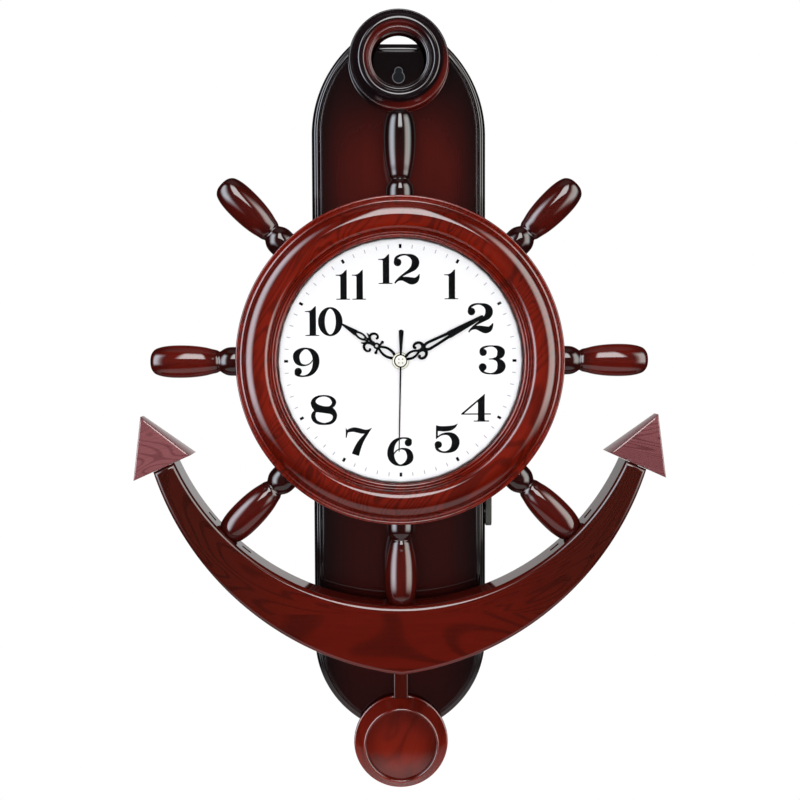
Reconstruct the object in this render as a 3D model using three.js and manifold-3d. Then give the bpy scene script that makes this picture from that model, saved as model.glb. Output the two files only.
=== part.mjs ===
// Ship's wheel wall clock with an anchor below it and a pendulum behind.
// Millimetres. The clock is laid out face on: x right, y up from the wheel's axis, z out from the wall.
// The outer group turns that layout upright: +Z up, the front towards -Y, the wall at Y = 0,
// and the origin where the wall screw's shank sits in the keyhole.
import * as THREE from 'three';
import { mergeVertices } from 'three/addons/utils/BufferGeometryUtils.js';
import Module from 'manifold-3d';

const wasm = await Module();
wasm.setup();

const REACH = 1000;              // longer than any cut needs

// Clearances
const SEAT_GAP = 0.3;            // between pieces that rest on each other
const RUN_GAP = 0.15;            // round a shaft that turns in a bore
const HAND_GAP = 0.8;            // between one hand and the next

// Back board
const BOARD_HALF_WIDTH = 82.5;
const BOARD_ABOVE_HANG = 27;
const BOARD_BOTTOM = -350;
const BOARD_THICK = 18;
const TOP_FLAT_HALF = 44;
const TOP_SHOULDER = 86;
const BOTTOM_FLAT_HALF = 38;
const BOTTOM_SHOULDER = 80;
const BOARD_STEP_IN = 4;         // the lower step round the front edge
const BOARD_STEP_DOWN = 3;
const BOARD_CHAMFER = 1.4;
const WINDOW_WIDTH = 96;         // opening behind the movement
const WINDOW_HEIGHT = 106;
const WINDOW_DROP = 4;
const WINDOW_CORNER = 10;
const HANG_HEIGHT = 272;         // wall screw above the wheel's axis
const KEY_SLOT_R = 4.2;
const KEY_HEAD_R = 6.1;
const KEY_HEAD_DROP = 5.6;

// Top ring
const RING_R = 47;
const RING_BORE_R = 25.5;
const RING_THICK = 19;
const RING_ABOVE_HANG = 9;       // its centre above the wall screw
const RING_SCREW_R = 36;

// Wheel
const WHEEL_BACK_INSET = 24;     // its edge inside the flange's
const WHEEL_BACK_THICK = 16.7;
const WHEEL_BACK_BORE_R = 60;
const RIM_R = 150;               // front flange
const FLANGE_OVERHANG = 4;       // past the wall that the handles stand on
const RIM_WIDTH = 39.5;          // flange to the opening over the dial
const LIP_OVERHANG = 4;          // over the edge of the glass
const RIM_DEPTH = 42.2;          // back face to the crown of the moulding
const FLANGE_THICK = 4;
const LIP_DROP = 7.5;            // crown to the front of the lip
const LIP_THICK = 3.2;

// Handles
const HANDLES = ['right', 'upper_right', 'top', 'upper_left', 'left', 'lower_left', 'bottom', 'lower_right'];
const HANDLE_SEAT = 3.3;         // a lower handle's tip past the crescent's inner edge
const HANDLE_R = 15.1;
const BEAD_LENGTH = 19.8;        // rim to neck
const HANDLE_NECK_R = 9.4;
const HANDLE_BEAD_R = 13.4;
const PEG_R = 5;
const PEG_LENGTH = 12;

// Crescent and arrowheads
const CRESCENT_INNER_R = 226;
const CRESCENT_BULGE = 48.5;     // an outer arc's radius less the inner one's
const CRESCENT_ARC_X = 36;       // centres of the two outer arcs
const CRESCENT_ARC_Y = -17.7;
const CRESCENT_THICK = 36.5;
const CRESCENT_CHAMFER = 3.6;
const CRESCENT_END_DEG = 24;     // below the horizontal
const ARROW_OFFSET = 1.46;       // an arrowhead's middle outside that of its limb
const ARROW_HALF_BASE = 28.2;
const ARROW_LENGTH = 51;
const ARROW_TIP_THICK = 18;
const ARROW_CHAMFER = 1.2;
const DOWEL_R = 4;
const DOWEL_LENGTH = 22;

// Dial and glass
const GLASS_THICK = 2;
const DIAL_DEPTH = 9.5;          // glass's front face to the dial's
const DIAL_THICK = 0.8;
const DIAL_BOARD_THICK = 3;
const SPACER_WALL = 3;

// Hands and their pipes
const HAND_THICK = 0.5;
const HOUR_HAND = 63.5;
const MINUTE_HAND = 86;
const SECOND_HAND = 83;
const SECOND_TAIL = 28.5;
const HOUR_BOSS_R = 7.8;
const MINUTE_BOSS_R = 6.9;
const CAP_R = 5.5;
const CAP_THICK = 1.4;
const HOUR_ANGLE = 302.3;        // clockwise from twelve
const MINUTE_ANGLE = 61.8;
const SECOND_ANGLE = 181.2;
const SECOND_ARBOR_R = 0.7;
const PIPE_WALL = 0.5;
const HOUR_PIPE_WALL = 0.7;
const BUSH_R = 4;
const NUT_R = 5.6;
const NUT_THICK = 1.5;

// Movement
const CASE_WIDTH = 66;
const CASE_UP = 36;
const CASE_DOWN = 44;
const CASE_DEPTH = 17.5;
const CASE_WALL = 1.2;
const PILLAR_R = 1.6;
const COVER_THICK = 1.2;
const BATTERY_R = 7.1;
const BATTERY_LENGTH = 50;
const BATTERY_X = 24.4;
const PARTITION_X = 16.3;
const PARTITION_THICK = 0.8;
const WHEEL_THICK = 0.8;
const PINION_THICK = 1.3;
const LAYER_GAP = 0.5;
const ARBOR_R = 0.6;
const ROTOR_R = 3;
const ROTOR_THICK = 2.5;
const PLATE_THICK = 0.6;
const STATOR_THICK = 0.8;
const STATOR_CLEAR = 0.8;
const COIL_WIND = 2.4;           // depth of the wire on its core
const CIRCUIT_THICK = 1.2;
const BATTERY_NUB_R = 2.6;
const BATTERY_NUB = 1.4;
const CONTACT_THICK = 0.5;
const CONTACT_HALF_WIDTH = 4;
const KNOB_R = 4.5;
const KNOB_THICK = 2.2;
const KNOB_SHAFT_R = 1.2;

// Teeth in the going train and the motion work
const TEETH = {
  rotor: 8, intermediate: 60, intermediatePinion: 8, seconds: 32, secondsPinion: 8, third: 60,
  thirdPinion: 8, centre: 64, cannon: 10, motion: 30, motionPinion: 8, hour: 32, knob: 12,
};
const TOOTH_MODULE = 0.4;
const THIRD_DEG = 180;           // where each arbor lies from the one that it meshes with
const INTERMEDIATE_DEG = 60;
const ROTOR_DEG = 110;
const MOTION_DEG = -60;
const KNOB_DEG = -30;

// Pendulum
const PIVOT_UP = 28;             // above the wheel's axis
const PIVOT_R = 1.5;
const PIVOT_SHOULDER = 3.5;
const PIVOT_SHOULDER_R = 2.8;
const HANGER_HALF_WIDTH = 4;
const HANGER_THICK = 1.5;
const HANGER_END = -46;
const HOOK_R = 1.2;
const HOOK_HEAD = 1.5;
const CLIP_R = 3.2;
const CLIP_THICK = 0.8;
const ROUND_END = 0.997;         // a strip's end radius as a share of its half width
const STRAP_HALF_WIDTH = 3.2;
const STRAP_THICK = 0.8;
const STRAP_LAP = 30;            // along the rod
const ROD_TOP = -95;
const ROD_WIDTH = 13.8;
const ROD_THICK = 5;
const ROD_BEVEL = 1.2;
const BOB_HEIGHT = -366;
const BOB_R = 45;
const BOB_THICK = 16;
const MAGNET_R = 4;
const MAGNET_THICK = 2.6;
const MAGNET_HEIGHT = -33;
const SWING_DEG = 5;
const SWING_ROOM = 3;

// Side bracket
const BRACKET_THICK = 5.5;
const BRACKET_TOP = -52;
const BRACKET_BOTTOM = -160;
const BRACKET_FOOT = 26;
const BRACKET_REACH = 15;
const BRACKET_INSET = 3;
const BRACKET_CORNER = 5;

// Screw holes through the board
const SCREW_R = 2.1;
const SCREW_HEAD_R = 4.2;
const SCREW_HEAD = 2.6;

// Facets
const FINE = 40;
const MEDIUM = 28;
const COARSE = 12;
const SMALL = 8;
const HANDLE_SIDES = 10;
const CORNER_STEPS = 5;
const CRESCENT_STEPS = 12;

const radians = THREE.MathUtils.degToRad;

// Depths out from the wall, each from the piece behind or in front of it
const boardFront = BOARD_THICK;
const wheelBackZ = boardFront + SEAT_GAP;
const rimBackZ = wheelBackZ + WHEEL_BACK_THICK + SEAT_GAP;
const crownZ = rimBackZ + RIM_DEPTH;
const lipZ = crownZ - LIP_DROP;
const glassFrontZ = lipZ - LIP_THICK - SEAT_GAP;
const dialZ = glassFrontZ - DIAL_DEPTH;
const dialBackZ = dialZ - DIAL_THICK;
const dialBoardBackZ = dialBackZ - SEAT_GAP - DIAL_BOARD_THICK;
const caseFrontZ = dialBoardBackZ - SEAT_GAP;
const caseBackZ = caseFrontZ - CASE_DEPTH;
const coverZ = caseBackZ - SEAT_GAP;
const coverBackZ = coverZ - COVER_THICK;
const nutZ = dialZ + SEAT_GAP;
const hourZ = nutZ + NUT_THICK + HAND_GAP / 2;
const minuteZ = hourZ + HAND_THICK + HAND_GAP;
const secondZ = minuteZ + HAND_THICK + HAND_GAP;
const flangeFrontZ = lipZ - FLANGE_THICK;
const handleZ = flangeFrontZ - FLANGE_THICK - HANDLE_BEAD_R - RUN_GAP;
const crescentBackZ = handleZ - CRESCENT_THICK / 2 + 0.7;
const ringBackZ = boardFront + SEAT_GAP;
const hangerFrontZ = coverBackZ - PIVOT_SHOULDER - SEAT_GAP;
const hangerBackZ = hangerFrontZ - HANGER_THICK;
const strapFrontZ = hangerBackZ - HAND_GAP / 2;
const strapBackZ = strapFrontZ - STRAP_THICK;
const rodFrontZ = strapBackZ - SEAT_GAP;
const rodBackZ = rodFrontZ - ROD_THICK;

// Places that hang on the sizes above
const boardTop = HANG_HEIGHT + BOARD_ABOVE_HANG;
const ringHeight = HANG_HEIGHT + RING_ABOVE_HANG;
const wheelBackR = RIM_R - WHEEL_BACK_INSET;
const rimWallR = RIM_R - FLANGE_OVERHANG;
const rimLipR = RIM_R - RIM_WIDTH;
const rimBoreR = rimLipR + LIP_OVERHANG;
const handleNeck = rimWallR + BEAD_LENGTH;
const handleTip = CRESCENT_INNER_R + HANDLE_SEAT;

// The crescent's outer arcs, and how far out they cross the line of its ends
const crescentOuterR = CRESCENT_INNER_R + CRESCENT_BULGE;
const crescentEnd = radians(CRESCENT_END_DEG);
const crescentEndR = (() => {
  const along = Math.cos(crescentEnd) * CRESCENT_ARC_X + Math.sin(crescentEnd) * CRESCENT_ARC_Y;
  const beyond = CRESCENT_ARC_X ** 2 + CRESCENT_ARC_Y ** 2 - crescentOuterR ** 2;
  return Math.sqrt(along ** 2 - beyond) - along;
})();
const arrowCentreR = (CRESCENT_INNER_R + crescentEndR) / 2 + ARROW_OFFSET;

// Radii of the pipes, each running inside the next
const minutePipeBore = SECOND_ARBOR_R + RUN_GAP;
const minutePipeR = minutePipeBore + PIPE_WALL;
const hourPipeBore = minutePipeR + RUN_GAP;
const hourPipeR = hourPipeBore + HOUR_PIPE_WALL;
const bushBore = hourPipeR + RUN_GAP;

// Materials
function finish(color, roughness, metalness = 0) {
  return new THREE.MeshStandardMaterial({ color, roughness, metalness });
}
const rosewood = finish(0x8c2014, 0.18);
const darkRosewood = finish(0x561410, 0.2);
const blackRosewood = finish(0x2c0c0c, 0.2);
const arrowWood = finish(0x7a3a3c, 0.25);
const whitePaint = finish(0xf8f9fb, 0.6);
const blackPaint = finish(0x0f0f10, 0.45);
const clearGlass = finish(0xe9f2f4, 0.03);
const hardboard = finish(0x7a5a3a, 0.85);
const darkPlastic = finish(0x1b1c1e, 0.5);
const whiteNylon = finish(0xe6e2d6, 0.45);
const brass = finish(0xc9a24a, 0.3, 1);
const steel = finish(0xb9bcc0, 0.3, 1);
const copper = finish(0xa9582c, 0.4, 1);
const circuitGreen = finish(0x1f5b36, 0.5);
const batteryWrap = finish(0x2f4d84, 0.35);
const oliveGrey = finish(0x3a3b33, 0.5);
const ivory = finish(0xd9cfa8, 0.35);

const face = new THREE.Group();
face.rotation.x = Math.PI / 2;
face.position.z = -HANG_HEIGHT;

function piece(name, geometry, material) {
  const mesh = new THREE.Mesh(geometry, material.clone());
  mesh.name = name;
  face.add(mesh);
  return mesh;
}

// A closed geometry as a solid, with shared corners merged and empty triangles left out
function solid(geometry) {
  const bare = geometry.clone();
  bare.deleteAttribute('normal');
  bare.deleteAttribute('uv');
  const merged = mergeVertices(bare, 1e-4);
  const index = merged.index.array;
  const corners = [];
  for (let i = 0; i < index.length; i += 3) {
    const [a, b, c] = [index[i], index[i + 1], index[i + 2]];
    if (a !== b && b !== c && a !== c) corners.push(a, b, c);
  }
  if (signedVolume(merged.attributes.position.array, corners) < 0) corners.reverse();
  return new wasm.Manifold(new wasm.Mesh({
    numProp: 3,
    vertProperties: Float32Array.from(merged.attributes.position.array),
    triVerts: Uint32Array.from(corners),
  }));
}

function signedVolume(points, corners) {
  const [a, b, c] = [new THREE.Vector3(), new THREE.Vector3(), new THREE.Vector3()];
  let total = 0;
  for (let i = 0; i < corners.length; i += 3) {
    a.fromArray(points, 3 * corners[i]);
    b.fromArray(points, 3 * corners[i + 1]);
    c.fromArray(points, 3 * corners[i + 2]);
    total += a.dot(b.cross(c)) / 6;
  }
  return total;
}

function geometryOf(body) {
  const mesh = body.getMesh();
  const geometry = new THREE.BufferGeometry();
  geometry.setAttribute('position', new THREE.BufferAttribute(mesh.vertProperties, 3));
  geometry.setIndex(new THREE.BufferAttribute(mesh.triVerts, 1));
  geometry.computeVertexNormals();
  return geometry;
}

function join(...bodies) {
  return bodies.reduce((all, body) => all.add(body));
}

// A flat outline from z0 to z1
function slab(shape, z0, z1, curveSegments = 8) {
  const geometry = new THREE.ExtrudeGeometry(shape, { depth: z1 - z0, bevelEnabled: false, curveSegments });
  return solid(geometry.translate(0, 0, z0));
}

// The same with its edge at z1 cut back by a chamfer, and at z0 too where both is true
function chamferedSlab(shape, z0, z1, cut, both = false, curveSegments = 8) {
  const low = both ? cut : 0;
  const geometry = new THREE.ExtrudeGeometry(shape, {
    depth: z1 - z0 - cut - low, bevelEnabled: true, bevelThickness: cut, bevelSize: cut,
    bevelOffset: -cut, bevelSegments: 1, curveSegments,
  });
  const body = solid(geometry.translate(0, 0, z0 + low));
  if (both) return body;
  const keep = new THREE.BoxGeometry(REACH, REACH, z1 - z0);
  return body.intersect(solid(keep.translate(0, 0, (z0 + z1) / 2)));
}

// A profile of [radius, height] pairs turned about the z axis at x, y
function turned(profile, segments, x = 0, y = 0) {
  const points = profile.map(([r, z]) => new THREE.Vector2(r, z));
  const geometry = new THREE.LatheGeometry(points, segments);
  geometry.rotateX(Math.PI / 2);
  return solid(geometry.translate(x, y, 0));
}

function rod(radius, z0, z1, x = 0, y = 0, segments = SMALL) {
  return turned([[0, z0], [radius, z0], [radius, z1], [0, z1]], segments, x, y);
}

function tube(outer, inner, z0, z1, x = 0, y = 0, segments = COARSE) {
  return turned([[inner, z0], [outer, z0], [outer, z1], [inner, z1], [inner, z0]], segments, x, y);
}

function block(x0, x1, y0, y1, z0, z1) {
  const geometry = new THREE.BoxGeometry(x1 - x0, y1 - y0, z1 - z0);
  return solid(geometry.translate((x0 + x1) / 2, (y0 + y1) / 2, (z0 + z1) / 2));
}

function rectangle(x0, x1, y0, y1, corner = 0) {
  const shape = new THREE.Shape();
  const c = corner;
  shape.moveTo(x0 + c, y0);
  shape.lineTo(x1 - c, y0);
  if (c) shape.absarc(x1 - c, y0 + c, c, -Math.PI / 2, 0);
  shape.lineTo(x1, y1 - c);
  if (c) shape.absarc(x1 - c, y1 - c, c, 0, Math.PI / 2);
  shape.lineTo(x0 + c, y1);
  if (c) shape.absarc(x0 + c, y1 - c, c, Math.PI / 2, Math.PI);
  shape.lineTo(x0, y0 + c);
  if (c) shape.absarc(x0 + c, y0 + c, c, Math.PI, 1.5 * Math.PI);
  return shape;
}

// A countersunk hole through the board, with its wide mouth at the wall
function screwHole(x, y) {
  return turned([
    [0, -1], [SCREW_HEAD_R, -1], [SCREW_HEAD_R, SEAT_GAP], [SCREW_R, SCREW_HEAD],
    [SCREW_R, boardFront + 1], [0, boardFront + 1],
  ], 8, x, y);
}

// Back board: flat at top and bottom, with an arc on each shoulder
function shoulder(flat, rise, inset) {
  const half = BOARD_HALF_WIDTH;
  const radius = ((half - flat) ** 2 + rise ** 2) / (2 * (half - flat));
  return { cx: half - radius, radius: radius - inset, sweep: Math.asin((rise - inset) / (radius - inset)) };
}

function boardOutline(inset) {
  const top = shoulder(TOP_FLAT_HALF, TOP_SHOULDER, inset);
  const low = shoulder(BOTTOM_FLAT_HALF, BOTTOM_SHOULDER, inset);
  const topY = boardTop - TOP_SHOULDER;
  const lowY = BOARD_BOTTOM + BOTTOM_SHOULDER;
  const shape = new THREE.Shape();
  shape.absarc(top.cx, topY, top.radius, 0, top.sweep);
  shape.absarc(-top.cx, topY, top.radius, Math.PI - top.sweep, Math.PI);
  shape.absarc(-low.cx, lowY, low.radius, Math.PI, Math.PI + low.sweep);
  shape.absarc(low.cx, lowY, low.radius, 2 * Math.PI - low.sweep, 2 * Math.PI);
  return shape;
}

const boardScrews = [[-66, 62], [66, 62], [-66, -70], [66, -70]];
const ringScrews = [[-RING_SCREW_R, ringHeight - 6], [RING_SCREW_R, ringHeight - 6]];

function makeBackBoard() {
  const step = boardFront - BOARD_STEP_DOWN;
  let board = join(slab(boardOutline(0), 0, step, CORNER_STEPS),
    chamferedSlab(boardOutline(BOARD_STEP_IN), step, boardFront, BOARD_CHAMFER, false, CORNER_STEPS));
  const half = WINDOW_WIDTH / 2;
  const window = rectangle(-half, half, -WINDOW_DROP - WINDOW_HEIGHT / 2, -WINDOW_DROP + WINDOW_HEIGHT / 2,
    WINDOW_CORNER);
  board = board.subtract(slab(window, -1, boardFront + 1, 4));
  board = board.subtract(rod(KEY_SLOT_R, -1, boardFront + 1, 0, HANG_HEIGHT, COARSE));
  board = board.subtract(rod(KEY_HEAD_R, -1, boardFront + 1, 0, HANG_HEIGHT - KEY_HEAD_DROP, COARSE));
  for (const [x, y] of [...boardScrews, ...ringScrews]) board = board.subtract(screwHole(x, y));
  piece('back_board', geometryOf(board), blackRosewood);
}

// Top ring: a turned hoop with a bead on its front edge
function makeTopRing() {
  const [back, front, outer, bore] = [ringBackZ, ringBackZ + RING_THICK, RING_R, RING_BORE_R];
  const bead = RING_R - 9;
  const ring = turned([
    [bore, back], [outer, back], [outer, back + 5], [outer - 2, back + 8], [outer - 5.5, front - 6.5],
    [bead + 1.6, front - 2], [bead, front], [bead - 3, front - 0.6], [bead - 5, front - 2.6],
    [bore + 4.5, front - 4.2], [bore + 2, front - 3.2], [bore, front - 4.4], [bore, back],
  ], MEDIUM, 0, ringHeight);
  piece('top_ring', geometryOf(ring), blackRosewood);
}

// Wheel back: the disc that stands the wheel off the board, with the pendulum's channel in its back
function makeWheelBack() {
  const [back, front] = [wheelBackZ, wheelBackZ + WHEEL_BACK_THICK];
  let disc = tube(wheelBackR, WHEEL_BACK_BORE_R, back, front, 0, 0, FINE);
  const swing = Math.tan(radians(SWING_DEG));
  const halfAt = (y) => (PIVOT_UP - y) * swing + ROD_WIDTH / 2 + SWING_ROOM;
  const [high, low] = [-WHEEL_BACK_BORE_R + 8, -wheelBackR - 2];
  const channel = new THREE.Shape([
    new THREE.Vector2(-halfAt(high), high), new THREE.Vector2(-halfAt(low), low),
    new THREE.Vector2(halfAt(low), low), new THREE.Vector2(halfAt(high), high),
  ]);
  disc = disc.subtract(slab(channel, back - 1, hangerFrontZ + SWING_ROOM / 2));
  piece('wheel_back', geometryOf(disc), darkRosewood);
}

// Wheel rim: one turned ring, from the flange over a bead and the broad hump to the lip over the dial
function makeWheelRim() {
  const [back, crown, lip] = [rimBackZ, crownZ, lipZ];
  const flange = flangeFrontZ;
  const bed = lip - LIP_THICK;
  let rim = turned([
    [rimBoreR, back], [rimWallR, back], [rimWallR, flange - FLANGE_THICK],
    [RIM_R, flange - FLANGE_THICK + 0.8], [RIM_R, flange], [RIM_R - 3.6, flange + 1.2],
    [RIM_R - 5.5, flange + 3.8], [RIM_R - 7.4, flange + 1], [RIM_R - 10, crown - 5.4],
    [RIM_R - 15, crown - 1.5], [RIM_R - 20, crown], [RIM_R - 25.5, crown - 0.5], [RIM_R - 29.4, crown - 2.8],
    [rimLipR + 7.1, lip - 0.6], [rimLipR + 5, lip + 0.9],
    [rimLipR + 3.3, lip - 1], [rimLipR + 1, lip], [rimLipR, bed],
    [rimBoreR, bed], [rimBoreR, back],
  ], FINE);
  for (let i = 0; i < HANDLES.length; i += 1) {
    const socket = rod(PEG_R + SEAT_GAP, rimWallR - PEG_LENGTH - SEAT_GAP, RIM_R, 0, 0, HANDLE_SIDES);
    rim = rim.subtract(outward(socket, i));
  }
  piece('wheel_rim', geometryOf(rim), rosewood);
}

// A body turned about z is laid along the radius of handle i, at the handles' depth
function outward(body, i) {
  const turn = 45 * i;
  return body.rotate([0, 90, 0]).rotate([0, 0, turn]).translate([0, 0, handleZ]);
}

// The belly's radius as a share of its widest, by how far it is from the neck to the tip
const BELLY = [
  [0.13, 0.77], [0.29, 0.92], [0.52, 1], [0.7, 0.985], [0.84, 0.9], [0.93, 0.72], [0.985, 0.4], [1, 0],
];

// The same for the bead between the rim and the neck
const BEAD = [[0, 0.925], [0.26, 1], [0.76, 0.963], [0.93, 0.85]];

function belly(grow) {
  const length = handleTip - handleNeck;
  return BELLY.map(([along, share]) => [
    share ? share * HANDLE_R + grow : 0, handleNeck + along * length + (share ? 0 : grow),
  ]);
}

// Handle: peg, bead, neck and a long belly with a blunt round tip; heights run out from the wheel's axis
function handleProfile() {
  const root = rimWallR + SEAT_GAP;
  const bead = BEAD.map(([along, share]) => [
    share * HANDLE_BEAD_R, THREE.MathUtils.lerp(root, handleNeck, along),
  ]);
  return [
    [0, root - PEG_LENGTH], [PEG_R, root - PEG_LENGTH], [PEG_R, root], ...bead,
    [HANDLE_NECK_R, handleNeck], ...belly(0),
  ];
}

// The hollow that the tip of a lower handle sits in
function handleSocket() {
  const tip = belly(SEAT_GAP).slice(3);
  return [[0, tip[0][1]], ...tip];
}

function makeHandles() {
  HANDLES.forEach((where, i) => {
    piece(`handle_${where}`, geometryOf(outward(turned(handleProfile(), HANDLE_SIDES), i)), darkRosewood);
  });
}

// Crescent: an inner arc round the wheel and two outer arcs that meet in a point at the bottom
function crescentOutline() {
  const [end, r] = [crescentEnd, crescentEndR];
  const outerEnd = Math.atan2(-r * Math.sin(end) - CRESCENT_ARC_Y, r * Math.cos(end) + CRESCENT_ARC_X);
  const point = -Math.acos(CRESCENT_ARC_X / crescentOuterR);
  const shape = new THREE.Shape();
  shape.absarc(0, 0, CRESCENT_INNER_R, Math.PI + end, -end);
  shape.absarc(-CRESCENT_ARC_X, CRESCENT_ARC_Y, crescentOuterR, outerEnd, point, true);
  shape.absarc(CRESCENT_ARC_X, CRESCENT_ARC_Y, crescentOuterR, Math.PI - point, Math.PI - outerEnd, true);
  return shape;
}

function makeCrescent() {
  const [back, front] = [crescentBackZ, crescentBackZ + CRESCENT_THICK];
  let body = chamferedSlab(crescentOutline(), back, front, CRESCENT_CHAMFER, true, CRESCENT_STEPS);
  for (const i of [5, 6, 7]) body = body.subtract(outward(turned(handleSocket(), HANDLE_SIDES), i));
  for (const side of [-1, 1]) body = body.subtract(dowel(side, SEAT_GAP));
  piece('crescent', geometryOf(body), rosewood);
  piece('arrow_dowel_left', geometryOf(dowel(-1, 0)), hardboard);
  piece('arrow_dowel_right', geometryOf(dowel(1, 0)), hardboard);
}

// The crescent's end turned so that its y axis runs on past the end, with the limb's middle at the origin
function placeAtEnd(body, side) {
  const middle = crescentBackZ + CRESCENT_THICK / 2;
  const placed = body.translate([arrowCentreR, 0, middle]).rotate([0, 0, -CRESCENT_END_DEG]);
  return side > 0 ? placed : placed.mirror([1, 0, 0]);
}

function dowel(side, grow) {
  const half = DOWEL_LENGTH / 2 + grow;
  return placeAtEnd(rod(DOWEL_R + grow, -half, half).rotate([90, 0, 0]), side);
}

// Arrowhead: a three-sided wedge, twice as thick at its base as at its point
function makeArrowheads() {
  const half = CRESCENT_THICK / 2;
  const point = ARROW_TIP_THICK / 2;
  const plan = new THREE.Shape([
    new THREE.Vector2(-ARROW_HALF_BASE, SEAT_GAP), new THREE.Vector2(ARROW_HALF_BASE, SEAT_GAP),
    new THREE.Vector2(0, ARROW_LENGTH),
  ]);
  const wedge = chamferedSlab(plan, -half, half, ARROW_CHAMFER, true);
  const side = new THREE.Shape([
    new THREE.Vector2(-half, -1), new THREE.Vector2(half, -1), new THREE.Vector2(half, SEAT_GAP),
    new THREE.Vector2(point, ARROW_LENGTH + 1), new THREE.Vector2(-point, ARROW_LENGTH + 1),
    new THREE.Vector2(-half, SEAT_GAP),
  ]);
  const taper = slab(side, -ARROW_HALF_BASE - 1, ARROW_HALF_BASE + 1).rotate([0, 90, 0]);
  const head = wedge.intersect(taper);
  for (const [name, way] of [['arrowhead_left', -1], ['arrowhead_right', 1]]) {
    piece(name, geometryOf(placeAtEnd(head, way).subtract(dowel(way, SEAT_GAP))), arrowWood);
  }
}

// Dial, its backing, the glass and the ring between them
function makeDial() {
  const edge = rimBoreR - SEAT_GAP;
  const boltHole = BUSH_R + SEAT_GAP;
  const glassBackZ = glassFrontZ - GLASS_THICK;
  const disc = (hole, z0, z1) => geometryOf(tube(edge, hole, z0, z1, 0, 0, FINE));
  piece('dial_glass', geometryOf(rod(edge, glassBackZ, glassFrontZ, 0, 0, FINE)), clearGlass);
  piece('dial_spacer', disc(edge - SPACER_WALL, dialZ + SEAT_GAP, glassBackZ - SEAT_GAP), darkRosewood);
  piece('dial', disc(boltHole, dialBackZ, dialZ), whitePaint);
  piece('dial_board', disc(boltHole, dialBoardBackZ, dialBackZ - SEAT_GAP), hardboard);
  const nut = rod(NUT_R, nutZ, nutZ + NUT_THICK, 0, 0, 6).subtract(rod(boltHole, 0, REACH, 0, 0, COARSE));
  piece('centre_nut', geometryOf(nut), brass);
}

// A ribbon along a path; the width runs evenly from one end's to the other's
function ribbon(curve, steps, startWidth, endWidth, z0, z1) {
  const [left, right] = [[], []];
  for (let i = 0; i <= steps; i += 1) {
    const t = i / steps;
    const at = curve.getPoint(t);
    const way = curve.getTangent(t);
    const half = THREE.MathUtils.lerp(startWidth, endWidth, t) / 2;
    left.push(new THREE.Vector2(at.x - way.y * half, at.y + way.x * half));
    right.unshift(new THREE.Vector2(at.x + way.y * half, at.y - way.x * half));
  }
  return slab(new THREE.Shape([...left, ...right]), z0, z1);
}

function path(...points) {
  return new THREE.CatmullRomCurve3(points.map(([x, y]) => new THREE.Vector3(x, y, 0)));
}

function bothSides(points, steps, startWidth, endWidth, z0, z1) {
  return [-1, 1].map((side) => {
    const curve = path(...points.map(([x, y]) => [side * x, y]));
    return ribbon(curve, steps, startWidth, endWidth, z0, z1);
  });
}

// Hour hand: a teardrop loop, a cross of knobs, two curls, two thorns, an open leaf and a blade
function hourHand() {
  const [z0, z1] = [hourZ, hourZ + HAND_THICK];
  const tip = HOUR_HAND;
  return join(
    tube(HOUR_BOSS_R, hourPipeR + RUN_GAP, z0, z1, 0, 0, COARSE),
    ...bothSides([[0, 7], [3.2, 12], [3.5, 17.5], [0, 24.5]], 5, 1.5, 1.2, z0, z1),
    ribbon(path([-6.2, 25], [6.2, 25]), 1, 1.3, 1.3, z0, z1),
    ...[-1, 1].map((side) => rod(1.4, z0, z1, side * 6.2, 25, 6)),
    tube(2.4, 1, z0, z1, 0, 26, SMALL),
    ...bothSides([[0, 28], [4.5, 27.6], [8.2, 30.2], [7.6, 34.2], [4.6, 34.2], [4.8, 31.8]],
      7, 1.5, 1.5, z0, z1),
    ...bothSides([[0, 36.5], [2.2, 37.5], [3.8, 42]], 3, 1.8, 0.5, z0, z1),
    ribbon(path([0, 27], [0, 37]), 1, 1.8, 1.8, z0, z1),
    tube(2, 0.8, z0, z1, 0, 35.5, SMALL),
    ...bothSides([[0, 37], [2.2, 41], [2, 45], [0, 49]], 4, 1.2, 1.2, z0, z1),
    slab(new THREE.Shape([[-1.9, 47.5], [1.9, 47.5], [0.8, tip - 2], [0, tip], [-0.8, tip - 2]]
      .map(([x, y]) => new THREE.Vector2(x, y))), z0, z1),
  );
}

// Minute hand: an open leaf, two curls that turn back to the hub, a long slot and a tapering blade
function minuteHand() {
  const [z0, z1] = [minuteZ, minuteZ + HAND_THICK];
  const tip = MINUTE_HAND;
  return join(
    tube(MINUTE_BOSS_R, minutePipeR + RUN_GAP, z0, z1, 0, 0, COARSE),
    ...bothSides([[0, 6.4], [3, 11], [2.8, 17], [0, 22.5]], 5, 1.5, 1.2, z0, z1),
    rod(2.3, z0, z1, 0, 23.8, SMALL),
    ...bothSides([[0, 25], [5.4, 25.2], [8, 21.5], [7.2, 16.6], [4.6, 16.2], [4.8, 19]], 7, 1.6, 1.5, z0, z1),
    ...bothSides([[0, 24], [3, 27.5], [3.1, 38], [0.6, 53]], 5, 1.6, 1.4, z0, z1),
    slab(new THREE.Shape([[-2.4, 50], [2.4, 50], [1, tip - 2], [0, tip], [-1, tip - 2]]
      .map(([x, y]) => new THREE.Vector2(x, y))), z0, z1),
  );
}

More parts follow.
